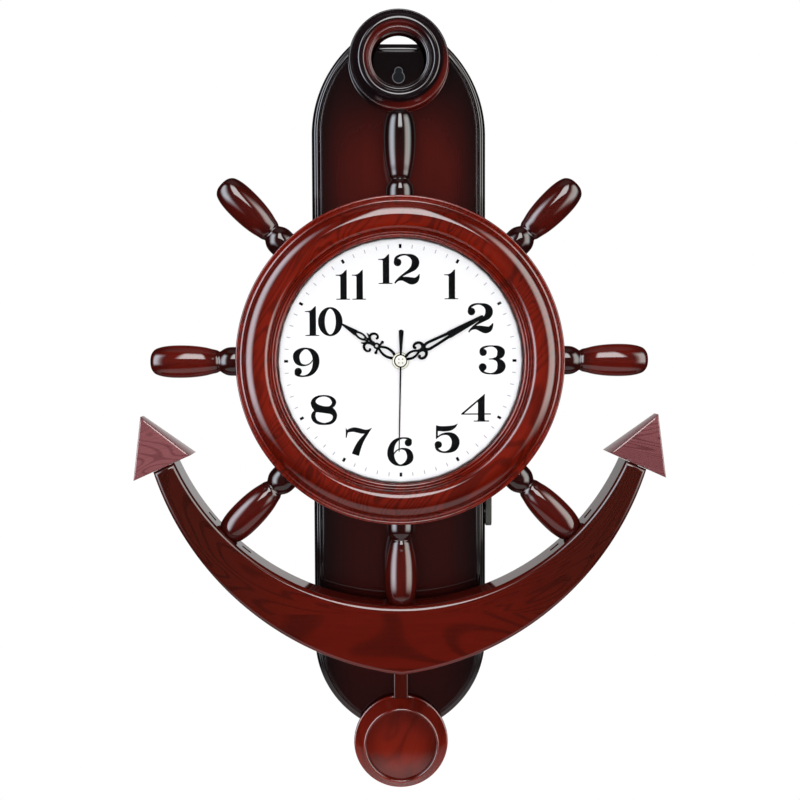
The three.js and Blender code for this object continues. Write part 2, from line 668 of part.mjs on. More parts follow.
// Second hand: a needle with a tail that widens
function secondHand() {
  const [z0, z1] = [secondZ, secondZ + HAND_THICK];
  const waist = -SECOND_TAIL / 4;
  const outline = [[-0.9, waist], [-2.3, -SECOND_TAIL], [2.3, -SECOND_TAIL], [0.9, waist],
    [0.9, 5], [0.55, SECOND_HAND], [-0.55, SECOND_HAND], [-0.9, 5]];
  const needle = slab(new THREE.Shape(outline.map(([x, y]) => new THREE.Vector2(x, y))), z0, z1);
  const hole = rod(SECOND_ARBOR_R + RUN_GAP, z0 - 1, z1 + 1);
  return join(needle, rod(CAP_R - 1, z0, z1, 0, 0, COARSE)).subtract(hole);
}

function makeHands() {
  piece('hour_hand', geometryOf(hourHand()), blackPaint).rotation.z = -radians(HOUR_ANGLE);
  piece('minute_hand', geometryOf(minuteHand()), blackPaint).rotation.z = -radians(MINUTE_ANGLE);
  piece('second_hand', geometryOf(secondHand()), blackPaint).rotation.z = -radians(SECOND_ANGLE);
  const capZ = secondZ + HAND_THICK + SEAT_GAP;
  const cap = turned([[0, capZ], [CAP_R, capZ], [CAP_R, capZ + 0.5], [CAP_R - 1, capZ + CAP_THICK],
    [0, capZ + CAP_THICK]], COARSE);
  piece('hand_cap', geometryOf(cap), ivory);
}

// Gears. The second pair on the same two arbors takes its module from their distance
function distanceOf(a, b) {
  return (TOOTH_MODULE * (TEETH[a] + TEETH[b])) / 2;
}

function from(centre, distance, deg) {
  return [centre[0] + distance * Math.cos(radians(deg)), centre[1] + distance * Math.sin(radians(deg))];
}

const centreAt = [0, 0];
const thirdAt = from(centreAt, distanceOf('thirdPinion', 'centre'), THIRD_DEG);
const intermediateAt = from(centreAt, distanceOf('intermediatePinion', 'seconds'), INTERMEDIATE_DEG);
const rotorAt = from(intermediateAt, distanceOf('rotor', 'intermediate'), ROTOR_DEG);
const motionAt = from(centreAt, distanceOf('cannon', 'motion'), MOTION_DEG);
const knobAt = from(motionAt, distanceOf('knob', 'motion'), KNOB_DEG);
const secondsModule = (2 * distanceOf('thirdPinion', 'centre')) / (TEETH.secondsPinion + TEETH.third);
const hourModule = (2 * distanceOf('cannon', 'motion')) / (TEETH.motionPinion + TEETH.hour);

// The angle of a tooth on a gear that meshes with another, whose own tooth is at that phase
function meshPhase(teeth, other, otherPhase, deg) {
  const line = radians(deg);
  const pitch = (2 * Math.PI) / other;
  return line + Math.PI - ((otherPhase - line + pitch / 2) * other) / teeth;
}

// A toothed disc: one point at each tooth's tip and one at its root
function gear(teeth, module, phase, z0, thick, [x, y]) {
  const radius = (teeth * module) / 2;
  const points = [];
  for (let i = 0; i < 2 * teeth; i += 1) {
    const r = i % 2 ? radius - 0.9 * module : radius + 0.4 * module;
    const turn = phase + (i * Math.PI) / teeth;
    points.push(new THREE.Vector2(r * Math.cos(turn), r * Math.sin(turn)));
  }
  return slab(new THREE.Shape(points), z0 - thick, z0).translate([x, y, 0]);
}

// Where each layer of the train lies, from the case's front wall back
const caseInnerZ = caseFrontZ - CASE_WALL;
const hourLayer = caseInnerZ - LAYER_GAP;
const motionLayer = hourLayer - PINION_THICK - SEAT_GAP;
const centreLayer = motionLayer - PINION_THICK - SEAT_GAP;
const thirdLayer = centreLayer - PINION_THICK - SEAT_GAP;
const plateLayer = thirdLayer - PINION_THICK - SEAT_GAP;
const secondsLayer = plateLayer - PLATE_THICK - LAYER_GAP;
const intermediateLayer = secondsLayer - PINION_THICK - SEAT_GAP;
const rotorLayer = intermediateLayer - PINION_THICK - SEAT_GAP;
const frontPivotZ = caseInnerZ - SEAT_GAP;
const rearPivotZ = coverZ + SEAT_GAP;

function makeTrain() {
  const t = TEETH;
  const m = TOOTH_MODULE;
  const wheel = WHEEL_THICK;
  const pinion = PINION_THICK;

  const secondsArbor = rod(SECOND_ARBOR_R, intermediateLayer + SEAT_GAP, secondZ + HAND_THICK);
  piece('seconds_wheel', geometryOf(join(
    gear(t.seconds, m, 0, secondsLayer, wheel, centreAt),
    gear(t.secondsPinion, secondsModule, 0, thirdLayer, pinion, centreAt), secondsArbor,
  )), whiteNylon);

  const thirdPhase = meshPhase(t.third, t.secondsPinion, 0, THIRD_DEG);
  piece('third_wheel', geometryOf(join(
    gear(t.third, secondsModule, thirdPhase, thirdLayer, wheel, thirdAt),
    gear(t.thirdPinion, m, 0, centreLayer, pinion, thirdAt),
    rod(ARBOR_R, rearPivotZ, frontPivotZ, ...thirdAt),
  )), whiteNylon);

  const centrePhase = meshPhase(t.centre, t.thirdPinion, 0, THIRD_DEG + 180);
  piece('centre_wheel', geometryOf(join(
    gear(t.centre, m, centrePhase, centreLayer, wheel, centreAt),
    gear(t.cannon, m, 0, motionLayer, pinion, centreAt),
    rod(minutePipeR, centreLayer - wheel, minuteZ + HAND_THICK, 0, 0, COARSE),
  ).subtract(rod(minutePipeBore, centreLayer - 2 * wheel, minuteZ + 1, 0, 0, COARSE))), whiteNylon);

  const motionPhase = meshPhase(t.motion, t.cannon, 0, MOTION_DEG);
  piece('motion_wheel', geometryOf(join(
    gear(t.motion, m, motionPhase, motionLayer, wheel, motionAt),
    gear(t.motionPinion, hourModule, 0, hourLayer, pinion + SEAT_GAP + wheel / 2, motionAt),
  ).subtract(rod(ARBOR_R + RUN_GAP, motionLayer - 2 * wheel, hourLayer + 1, ...motionAt))), whiteNylon);

  const hourPhase = meshPhase(t.hour, t.motionPinion, 0, MOTION_DEG + 180);
  piece('hour_wheel', geometryOf(join(
    gear(t.hour, hourModule, hourPhase, hourLayer, wheel, centreAt),
    rod(hourPipeR, hourLayer - wheel, hourZ + HAND_THICK, 0, 0, COARSE),
  ).subtract(rod(hourPipeBore, hourLayer - 2 * wheel, hourZ + 1, 0, 0, COARSE))), whiteNylon);

  const pinionPhase = meshPhase(t.intermediatePinion, t.seconds, 0, INTERMEDIATE_DEG);
  piece('intermediate_wheel', geometryOf(join(
    gear(t.intermediatePinion, m, pinionPhase, secondsLayer, pinion, intermediateAt),
    gear(t.intermediate, m, 0, intermediateLayer, wheel, intermediateAt),
    rod(ARBOR_R, rearPivotZ, plateLayer + SEAT_GAP / 2, ...intermediateAt),
  )), whiteNylon);

  const rotorPhase = meshPhase(t.rotor, t.intermediate, 0, ROTOR_DEG);
  piece('rotor', geometryOf(join(
    gear(t.rotor, m, rotorPhase, intermediateLayer, pinion, rotorAt),
    rod(ROTOR_R, rotorLayer - ROTOR_THICK, rotorLayer, ...rotorAt, COARSE),
    rod(ARBOR_R, rearPivotZ, plateLayer - PLATE_THICK - SEAT_GAP, ...rotorAt),
  )), steel);

  const knobPhase = meshPhase(t.knob, t.motion, motionPhase, KNOB_DEG);
  const knobFront = coverBackZ - SEAT_GAP;
  piece('set_knob', geometryOf(join(
    gear(t.knob, m, knobPhase, motionLayer, pinion, knobAt),
    rod(KNOB_SHAFT_R, knobFront, frontPivotZ, ...knobAt),
    gear(18, (2 * KNOB_R) / 18, 0, knobFront, KNOB_THICK, knobAt),
  )), whiteNylon);
}

// Movement case: a box open at the back, with the threaded bush, a wall beside the battery and the pillars
function makeCase() {
  const half = CASE_WIDTH / 2;
  const bushEnd = nutZ + NUT_THICK;
  const [left, right] = [-28, PARTITION_X - 2.8];
  const wall = CASE_WALL;
  const root = caseInnerZ + wall / 2;
  const pillars = [[left, -20], [left, 30], [right, 30], [right, -20]]
    .map(([x, y]) => rod(PILLAR_R, plateLayer + SEAT_GAP, root, x, y));
  const boardPillars = [left + 4, right - 2.5]
    .map((x) => rod(PILLAR_R, circuitZ + SEAT_GAP, root, x, -CASE_DOWN + 11));
  const inner = block(-half + wall, half - wall, -CASE_DOWN + wall, CASE_UP - wall,
    caseBackZ - 1, caseInnerZ);
  let shell = block(-half, half, -CASE_DOWN, CASE_UP, caseBackZ, caseFrontZ).subtract(inner);
  shell = join(shell, rod(BUSH_R, caseInnerZ, bushEnd, 0, 0, COARSE),
    block(PARTITION_X, PARTITION_X + PARTITION_THICK, -CASE_DOWN + wall / 2, CASE_UP - wall / 2,
      caseBackZ, root),
    ...pillars, ...boardPillars, rod(ARBOR_R, motionLayer - WHEEL_THICK, root, ...motionAt));
  shell = shell.subtract(rod(bushBore, caseInnerZ - 1, bushEnd + 1, 0, 0, COARSE));
  piece('movement_case', geometryOf(shell), darkPlastic);

  const plateTop = CASE_UP - 2 * wall;
  const plate = block(left - 2, PARTITION_X - SEAT_GAP, -22, plateTop, plateLayer - PLATE_THICK, plateLayer)
    .subtract(rod(SECOND_ARBOR_R + RUN_GAP, 0, REACH))
    .subtract(rod(ARBOR_R + RUN_GAP, 0, REACH, ...thirdAt))
    .subtract(rod(ARBOR_R + RUN_GAP, 0, REACH, ...intermediateAt))
    .subtract(rod(KNOB_SHAFT_R + RUN_GAP, 0, REACH, ...knobAt));
  piece('middle_plate', geometryOf(plate), brass);

  const batteryWindow = block(BATTERY_X - BATTERY_R, BATTERY_X + BATTERY_R, -BATTERY_LENGTH / 2 - 1,
    BATTERY_LENGTH / 2 + 1, coverBackZ - 1, coverZ + 1);
  const shoulderZ = coverBackZ - PIVOT_SHOULDER;
  const cover = join(
    block(-half, half, -CASE_DOWN, CASE_UP, coverBackZ, coverZ),
    rod(PIVOT_SHOULDER_R, shoulderZ, coverZ - COVER_THICK / 2, 0, PIVOT_UP, SMALL),
    rod(PIVOT_R, hangerBackZ - 2 * SEAT_GAP - 2 * CLIP_THICK, coverZ - COVER_THICK / 2, 0, PIVOT_UP, SMALL),
  ).subtract(batteryWindow).subtract(rod(KNOB_SHAFT_R + RUN_GAP, coverBackZ - 1, coverZ + 1, ...knobAt));
  piece('movement_cover', geometryOf(cover), darkPlastic);
}

// Stepper: a closed iron frame with the rotor in its lower bar and the coil round its upper one
const circuitZ = rotorLayer - 0.8;
const statorZ = rotorLayer - (ROTOR_THICK - STATOR_THICK) / 2;
function makeStepper() {
  const [left, right] = [-18, 14];
  const [low, high] = [rotorAt[1] - 4.8, rotorAt[1] + 11];
  const bar = 4;
  const frame = rectangle(left, right, low, high);
  frame.holes.push(rectangle(left + bar, right - bar, low + 2 * bar, high - bar));
  const stator = slab(frame, statorZ - STATOR_THICK, statorZ)
    .subtract(rod(ROTOR_R + STATOR_CLEAR, 0, REACH, ...rotorAt, COARSE));
  piece('stator', geometryOf(stator), steel);
  const g = SEAT_GAP;
  const statorBackZ = statorZ - STATOR_THICK;
  const core = block(left, right, high - bar - g, high + g, statorBackZ - g, statorZ + g);
  const coil = block(left + bar + g, right - bar - g, low + 2 * bar + g, high + COIL_WIND,
    statorBackZ - COIL_WIND, statorZ + COIL_WIND).subtract(core);
  piece('stepper_coil', geometryOf(coil), copper);
  const circuitBackZ = circuitZ - CIRCUIT_THICK;
  const circuit = block(-30, PARTITION_X - 1.3, -CASE_DOWN + 2 * CASE_WALL, -24, circuitBackZ, circuitZ);
  piece('circuit_board', geometryOf(circuit), circuitGreen);
  const driveCoil = tube(2 * MAGNET_R, 2.5, rearPivotZ, circuitBackZ - g, 0, MAGNET_HEIGHT, COARSE);
  piece('pendulum_coil', geometryOf(driveCoil), copper);
}

function makeBattery() {
  const end = BATTERY_LENGTH / 2;
  const z = (caseInnerZ + coverZ) / 2 + 0.4;
  const body = end - BATTERY_NUB;
  const cell = turned([[0, -end], [BATTERY_R, -end], [BATTERY_R, body], [BATTERY_NUB_R, body],
    [BATTERY_NUB_R, end], [0, end]], COARSE).rotate([-90, 0, 0]).translate([BATTERY_X, 0, z]);
  piece('battery', geometryOf(cell), batteryWrap);
  const strips = [1, -1].map((side) => {
    const y = side * (end + SEAT_GAP + CONTACT_THICK / 2);
    return block(BATTERY_X - CONTACT_HALF_WIDTH, BATTERY_X + CONTACT_HALF_WIDTH,
      y - CONTACT_THICK / 2, y + CONTACT_THICK / 2, rearPivotZ, caseInnerZ - SEAT_GAP);
  });
  piece('contact_plus', geometryOf(strips[0]), steel);
  piece('contact_minus', geometryOf(strips[1]), steel);
}

// Pendulum: hanger with its magnet, hooked strap, flat rod and turned bob
function makePendulum() {
  const g = SEAT_GAP;
  const w = HANGER_HALF_WIDTH;
  const strip = rectangle(-w, w, HANGER_END - w, PIVOT_UP + w, ROUND_END * w);
  const hookEnd = strapBackZ - g - HOOK_HEAD;
  const hanger = join(
    slab(strip, hangerBackZ, hangerFrontZ, 4),
    rod(HOOK_R, hookEnd, hangerBackZ + HANGER_THICK / 2, 0, HANGER_END),
    rod(HOOK_R + 1, hookEnd, strapBackZ - g, 0, HANGER_END),
  ).subtract(rod(PIVOT_R + RUN_GAP, 0, REACH, 0, PIVOT_UP, SMALL));
  piece('pendulum_hanger', geometryOf(hanger), whiteNylon);
  const clipZ = hangerBackZ - g;
  const clip = tube(CLIP_R, PIVOT_R + RUN_GAP, clipZ - CLIP_THICK, clipZ, 0, PIVOT_UP, SMALL);
  piece('pivot_clip', geometryOf(clip), steel);
  const magnetZ = hangerFrontZ + g;
  const magnet = rod(MAGNET_R, magnetZ, magnetZ + MAGNET_THICK, 0, MAGNET_HEIGHT, COARSE);
  piece('pendulum_magnet', geometryOf(magnet), steel);

  const lap = ROD_TOP - STRAP_LAP;
  const s = STRAP_HALF_WIDTH;
  const strap = slab(rectangle(-s, s, lap, HANGER_END + s, ROUND_END * s), strapBackZ, strapFrontZ, 4)
    .subtract(rod(HOOK_R + RUN_GAP, 0, REACH, 0, HANGER_END));
  const half = ROD_WIDTH / 2;
  const rodEnd = BOB_HEIGHT - BOB_R * 0.6;
  const bar = chamferedSlab(rectangle(-half, half, rodEnd, ROD_TOP), rodBackZ, rodFrontZ, ROD_BEVEL, true);
  piece('pendulum_strap', geometryOf(strap), brass);
  piece('pendulum_rod', geometryOf(bar), darkRosewood);
  const [back, front] = [rodBackZ, rodBackZ + BOB_THICK];
  let bob = turned([
    [0, back], [BOB_R - 3, back], [BOB_R, back + 3.5], [BOB_R, back + 7.5], [BOB_R - 2.6, back + 11.4],
    [BOB_R - 7, front - 0.8], [BOB_R - 9.6, front], [BOB_R - 11.8, front - 0.8], [BOB_R - 12.6, front - 3],
    [BOB_R - 14, front - 2.4], [BOB_R * 0.36, front - 1.6], [0, front - 1.4],
  ], MEDIUM, 0, BOB_HEIGHT);
  bob = bob.subtract(block(-half - g, half + g, rodEnd - g, BOB_HEIGHT + BOB_R + 1, back - 1, rodFrontZ + g));
  piece('pendulum_bob', geometryOf(bob), darkRosewood);
}

// Side bracket: an angle on the board's right edge whose foot lies on the wheel back
function makeBracket() {
  const x0 = BOARD_HALF_WIDTH + SEAT_GAP;
  const x1 = x0 + BRACKET_THICK;
  const footY = BRACKET_TOP - BRACKET_FOOT;
  const z1 = boardFront;
  const outline = rectangle(BRACKET_INSET, z1 - BOARD_STEP_DOWN, BRACKET_BOTTOM, BRACKET_TOP, BRACKET_CORNER);
  const strap = slab(outline, x0, x1, 4);
  const upright = strap.rotate([0, 90, 0]).mirror([0, 0, 1]);
  const foot = block(x0, x1 + BRACKET_REACH, footY, BRACKET_TOP, z1 - BRACKET_THICK, z1);
  piece('side_bracket', geometryOf(join(upright, foot)), oliveGrey);
}

makeBackBoard();
makeTopRing();
makeWheelBack();
makeWheelRim();
makeHandles();
makeCrescent();
makeArrowheads();
makeDial();
makeHands();
makeTrain();
makeCase();
makeStepper();
makeBattery();
makePendulum();
makeBracket();

const clock = new THREE.Group();
clock.add(face);
export default clock;
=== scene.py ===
"""A ship's wheel wall clock: a long board with a ring on top, a turned wheel with eight handles round the
dial, a crescent with two arrowheads below it, and a pendulum behind. Sizes are in millimetres as the clock
is laid out face on (x right, y up from the wheel's axis, z out from the wall) until a piece is made.
"""
import math

import bmesh
import bpy
import numpy as np
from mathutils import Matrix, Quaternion, Vector
from mathutils.geometry import delaunay_2d_cdt, tessellate_polygon


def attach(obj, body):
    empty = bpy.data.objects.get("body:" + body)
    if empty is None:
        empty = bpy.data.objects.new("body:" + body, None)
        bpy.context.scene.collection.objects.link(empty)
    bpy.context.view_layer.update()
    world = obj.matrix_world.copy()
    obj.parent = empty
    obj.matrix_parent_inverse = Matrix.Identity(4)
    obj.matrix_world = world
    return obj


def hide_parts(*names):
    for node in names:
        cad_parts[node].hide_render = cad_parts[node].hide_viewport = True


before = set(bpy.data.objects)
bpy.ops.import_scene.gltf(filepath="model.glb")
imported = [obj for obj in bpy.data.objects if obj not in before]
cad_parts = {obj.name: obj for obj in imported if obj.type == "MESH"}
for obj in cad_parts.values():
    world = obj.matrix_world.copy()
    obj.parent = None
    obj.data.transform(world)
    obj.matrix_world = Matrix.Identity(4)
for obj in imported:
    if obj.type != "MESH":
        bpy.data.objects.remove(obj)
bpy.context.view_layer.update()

# The room: a white studio with an even light from the front. What the lacquer mirrors is a tall soft box at
# each side, a small lamp above the camera and the white wall behind; the camera's own side is dark.
HANG = 272.0
FLOOR_Z = -0.95


def linear(red, green, blue):
    """Linear colour of a screen colour given as 0 to 255."""
    share = np.array([red, green, blue]) / 255.0
    value = np.where(share <= 0.04045, share / 12.92, ((share + 0.055) / 1.055) ** 2.4)
    return (*value.tolist(), 1.0)


class Tone:
    """A socket in a finish. Arithmetic on it adds Math nodes, and node() adds any other node."""

    def __init__(self, tree, socket=None):
        self.tree = tree
        self.socket = socket

    def node(self, kind, inputs=None, settings=None, output=0):
        made = self.tree.nodes.new("ShaderNode" + kind)
        for name, value in (settings or {}).items():
            setattr(made, name, value)
        for key, value in (inputs or {}).items():
            if isinstance(value, Tone):
                self.tree.links.new(value.socket, made.inputs[key])
            else:
                made.inputs[key].default_value = value
        return Tone(self.tree, made.outputs[output])

    def math(self, operation, *values):
        return self.node("Math", dict(enumerate(values)), {"operation": operation})

    def __add__(self, other):
        return self.math("ADD", self, other)

    def __radd__(self, other):
        return self.math("ADD", other, self)

    def __sub__(self, other):
        return self.math("SUBTRACT", self, other)

    def __rsub__(self, other):
        return self.math("SUBTRACT", other, self)

    def __mul__(self, other):
        return self.math("MULTIPLY", self, other)

    def __rmul__(self, other):
        return self.math("MULTIPLY", other, self)

    def __truediv__(self, other):
        return self.math("DIVIDE", self, other)

    def __pow__(self, other):
        return self.math("POWER", self, other)

    def __abs__(self):
        return self.math("ABSOLUTE", self)

    def rise(self, low, high):
        """0 below low, 1 above high, smooth between."""
        inputs = {0: self, 1: low, 2: high}
        return self.node("MapRange", inputs, {"interpolation_type": "SMOOTHSTEP", "clamp": True})

    def mix(self, first, second):
        """The first colour at 0 and the second at 1."""
        inputs = {0: self, 6: first, 7: second}
        return self.node("Mix", inputs, {"data_type": "RGBA", "clamp_factor": True}, 2)

    def between(self, first, second):
        """The same for two screen colours."""
        return self.mix(linear(*first), linear(*second))

    def here(self):
        """The shaded point's place in the row frame."""
        return self.node("TexCoord", output=3)

    def scaled(self, *shares):
        return self.node("VectorMath", {0: self, 1: shares}, {"operation": "MULTIPLY"})

    def shifted(self, *step):
        return self.node("VectorMath", {0: self, 1: step}, {"operation": "ADD"})

    def length(self):
        return self.node("VectorMath", {0: self}, {"operation": "LENGTH"}, 1)

    def noise(self, scale, detail=2.0, roughness=0.5, distortion=0.0):
        inputs = {"Vector": self, "Scale": scale, "Detail": detail, "Roughness": roughness,
                  "Distortion": distortion}
        return self.node("TexNoise", inputs)

    def axis(self, which):
        return self.node("SeparateXYZ", {0: self}, output="XYZ".index(which))


world = bpy.data.worlds.new("studio")
bpy.context.scene.world = world
world.use_nodes = True
world.node_tree.nodes.clear()
sky = Tone(world.node_tree)
outward_ray = sky.node("TexCoord", output=0)
to_right, away, upward = (outward_ray.axis(name) for name in "XYZ")
side = sky.math("DEGREES", sky.math("ARCTAN2", to_right, 0 - away))
lift = sky.math("DEGREES", sky.math("ARCSINE", upward))
tall = lift.rise(-30, -8) * (1 - lift.rise(34, 54))
left_box = (0 - side).rise(27, 52) * (1 - (0 - side).rise(58, 90)) * tall
right_box = side.rise(28, 48) * (1 - side.rise(64, 94)) * tall
cooler = side.rise(50, 80)
edge_glow = abs(side).rise(7, 30) * (1 - abs(side).rise(60, 110)) * tall
small_lamp = (1 - abs(side - 3).rise(11, 17)) * lift.rise(18, 22) * (1 - lift.rise(48, 66))
surround = sky.math("MAXIMUM", 0.92 * away.rise(0.80, 0.97), 0.3 * lift.rise(60, 76))
camera_ray, glossy_ray, through_ray = (sky.node("LightPath", output=index) for index in (0, 3, 6))
seen = sky.math("MAXIMUM", camera_ray, through_ray)
even = 0.38 + 7.1 * (0 - away).rise(0.90, 0.985) + 1.0 * upward.rise(0.5, 0.95) + 0.5 * away.rise(0.2, 0.9)
even = (1 - sky.math("MAXIMUM", seen, glossy_ray)) * even
channels = {}
for channel, (left_tint, warm, cool) in enumerate(((8.8, 7.0, 6.6), (9.4, 6.6, 7.4), (10.4, 6.2, 7.4))):
    right_tint = warm + (cool - warm) * cooler
    mirrored = 0.012 + left_tint * left_box + right_tint * right_box + 0.1 * edge_glow + 11.0 * small_lamp
    mirrored = sky.math("MAXIMUM", mirrored, surround)
    channels[channel] = seen + glossy_ray * mirrored + even
light = sky.node("CombineXYZ", channels)
studio = sky.node("Background", {"Color": light, "Strength": 1.0})
world_output = world.node_tree.nodes.new("ShaderNodeOutputWorld")
world.node_tree.links.new(studio.socket, world_output.inputs["Surface"])

overhead = bpy.data.lights.new("overhead", "AREA")
overhead.shape, overhead.size, overhead.size_y, overhead.energy = "RECTANGLE", 0.9, 0.5, 1.5
overhead_box = bpy.data.objects.new("overhead", overhead)
overhead_box.location = (0.0, -0.55, 1.1)
overhead_box.rotation_euler = (math.radians(22), 0, 0)
overhead_box.visible_camera = False
overhead_box.visible_glossy = False
bpy.context.scene.collection.objects.link(overhead_box)

lens = bpy.data.cameras.new("view")
lens.lens, lens.sensor_width = 50.06, 36.0
camera = bpy.data.objects.new("view", lens)
camera.location = (-0.0245, -1.077, -0.2574)
aim = Vector((-0.0011, -0.077, -0.3069)) - camera.location
camera.rotation_euler = (aim.to_track_quat("-Z", "Y") @ Quaternion((0, 0, 1), math.radians(-0.2))).to_euler()
bpy.context.scene.collection.objects.link(camera)
bpy.context.scene.camera = camera
bpy.context.scene.view_settings.view_transform = "Standard"


def new_finish(name):
    """A finish with one shader; returns the finish, a tone to start from, and the shader's node."""
    finish = bpy.data.materials.new(name)
    finish.use_nodes = True
    tree = finish.node_tree
    tree.nodes.clear()
    shader = tree.nodes.new("ShaderNodeBsdfPrincipled")
    output = tree.nodes.new("ShaderNodeOutputMaterial")
    tree.links.new(shader.outputs[0], output.inputs["Surface"])
    return finish, Tone(tree), shader


def dress(shader, inputs):
    """Each value or tone goes into the shader's socket of that name."""
    for name, value in inputs.items():
        if isinstance(value, Tone):
            value.tree.links.new(value.socket, shader.inputs[name])
        else:
            shader.inputs[name].default_value = value


floor_finish, tone, shader = new_finish("pale_floor")
spot = tone.here()
mottle = spot.noise(14.0, 3.0)
dress(shader, {"Base Color": mottle.mix((0.90, 0.90, 0.905, 1), (0.93, 0.93, 0.93, 1)), "Roughness": 0.7,
               "Specular IOR Level": 0.2})
from_middle = spot.scaled(1, 1, 0).length()
looked_at, glossy = (tone.node("LightPath", output=index) for index in (0, 3))
whitened = from_middle.rise(0.20, 0.56) * tone.math("MAXIMUM", looked_at, glossy)
white = tone.node("Emission", {"Color": (1, 1, 1, 1), "Strength": 1.0})
lit = tone.node("MixShader", {0: whitened, 1: Tone(tone.tree, shader.outputs[0]), 2: white})
behind = 0.75 * glossy * spot.axis("Y").rise(0.02, 0.3)
gone = tone.math("MAXIMUM", from_middle.rise(0.55, 0.83), behind)
both = tone.node("MixShader", {0: gone, 1: lit, 2: tone.node("BsdfTransparent")})
tone.tree.links.new(both.socket, tone.tree.nodes["Material Output"].inputs["Surface"])

sides = 64
turn = np.linspace(0, 2 * math.pi, sides, endpoint=False)
radii = np.array([0.2, 0.4, 0.6, 0.84])
ring_points = radii[:, None, None] * np.stack([np.cos(turn), np.sin(turn)], -1)
points = np.concatenate([np.zeros((1, 2)), ring_points.reshape(-1, 2)])
points = np.c_[points, np.full(len(points), FLOOR_Z)]
nth = np.arange(sides)
after = (nth + 1) % sides
fan = np.c_[np.zeros(sides, int), 1 + nth, 1 + after]
starts = [1 + sides * k for k in range(len(radii) - 1)]
bands = [np.c_[start + nth, start + sides + nth, start + sides + after, start + after] for start in starts]
floor_mesh = bpy.data.meshes.new("floor")
floor_mesh.from_pydata(points.tolist(), [], fan.tolist() + np.concatenate(bands).tolist())
floor_mesh.materials.append(floor_finish)
floor = bpy.data.objects.new("floor", floor_mesh)
bpy.context.scene.collection.objects.link(floor)


# Back board: one long panel with arched shoulders, a stepped and grooved edge, a window behind the movement and
# a keyhole for the wall screw. Sprayed nearly black with a red glow in the middle, then lacquered.
BOARD_FRONT = 18.0
BLACK_RED = linear(13, 7, 8)
GLOW_RED = linear(72, 16, 11)


def flow(points, steps=6, closed=False):
    """Smooth line through the points (Catmull-Rom cubic): each span is a cubic whose slope at a point is half
    the step between its neighbours. A point written twice is a corner."""
    p = np.asarray(points, float)
    before, beyond = (p[-1:], p[:2]) if closed else (2 * p[:1] - p[1:2], 2 * p[-1:] - p[-2:-1])
    p = np.concatenate([before, p, beyond])
    a, b, c, d = p[:-3, None], p[1:-2, None], p[2:-1, None], p[3:, None]
    t = np.linspace(0, 1, steps, endpoint=False)[None, :, None]
    line = 0.5 * (2 * b + (c - a) * t + (2 * a - 5 * b + 4 * c - d) * t**2 + (3 * b - a - 3 * c + d) * t**3)
    line = line.reshape(-1, p.shape[1])
    return line if closed else np.concatenate([line, p[-2:-1]])


def arc(x, y, radius, start, end, steps):
    """Points on a circle from one angle to another, in radians."""
    turn = np.linspace(start, end, steps)
    return np.stack([x + radius * np.cos(turn), y + radius * np.sin(turn)], -1)


def at_depth(outline, z):
    return np.c_[outline, np.full(len(outline), z)]


def skin(grid, loop=False):
    """Four-sided faces between the rows of a grid whose rows are closed rings; loop joins the last to the first."""
    rows, sides = grid.shape[:2]
    number = np.arange(rows * sides).reshape(rows, sides)
    low = number if loop else number[:-1]
    high = np.roll(number, -1, 0) if loop else number[1:]
    faces = np.stack([low, np.roll(low, -1, 1), np.roll(high, -1, 1), high], -1)
    return grid.reshape(-1, 3), faces.reshape(-1, 4).tolist()


def lid(outline, z, holes=()):
    """A flat face that fills an outline and leaves the holes open."""
    rings = [np.asarray(outline), *[np.asarray(hole) for hole in holes]]
    faces = tessellate_polygon([[Vector((x, y, 0)) for x, y in ring] for ring in rings])
    return at_depth(np.concatenate(rings), z), [list(face) for face in faces]


def upright(points):
    """From the clock's layout in millimetres to the row frame in metres."""
    x, y, z = np.asarray(points, float).T
    return np.stack([x, -z, y - HANG], -1) / 1000.0


def smooth(mesh, crease):
    mesh.shade_smooth()
    mesh.set_sharp_from_angle(angle=math.radians(crease))


def make(name, parts, crease=35.0):
    """A piece from its parts' points and faces: doubles merged, normals outward, sharp past the crease."""
    obj = bpy.data.objects.new(name, bpy.data.meshes.new(name))
    bpy.context.scene.collection.objects.link(obj)
    count, points, faces = 0, [], []
    for where, some in parts:
        points.append(where)
        faces += [[corner + count for corner in face] for face in some]
        count += len(where)
    obj.data.from_pydata(upright(np.concatenate(points)).tolist(), [], faces)
    work = bmesh.new()
    work.from_mesh(obj.data)
    bmesh.ops.remove_doubles(work, verts=work.verts, dist=2e-6)
    bmesh.ops.dissolve_degenerate(work, edges=work.edges, dist=1e-6)
    bmesh.ops.recalc_face_normals(work, faces=work.faces)
    work.to_mesh(obj.data)
    work.free()
    smooth(obj.data, crease)
    return obj


def carve(obj, cutters, operation="DIFFERENCE", crease=35.0):
    """The cutters are taken out of the piece, or joined to it, and then removed."""
    for cutter in cutters:
        cut = obj.modifiers.new("cut", "BOOLEAN")
        cut.operation, cut.solver, cut.object = operation, "EXACT", cutter
    seen_at = bpy.context.evaluated_depsgraph_get()
    mesh = bpy.data.meshes.new_from_object(obj.evaluated_get(seen_at))
    obj.modifiers.clear()
    obj.data = mesh
    for cutter in cutters:
        bpy.data.objects.remove(cutter)
    smooth(mesh, crease)


def grain_along(obj, along, across):
    """Gives each point its place in the timber, in millimetres: along the fibres, across them, and the depth."""
    where = np.empty(len(obj.data.vertices) * 3)
    obj.data.vertices.foreach_get("co", where)
    x, y, z = (where.reshape(-1, 3) * 1000.0).T
    x, y, z = x, z + HANG, -y
    layer = obj.data.attributes.new("grain", "FLOAT_VECTOR", "POINT")
    layer.data.foreach_set("vector", np.stack([along(x, y), across(x, y), z], -1).ravel())


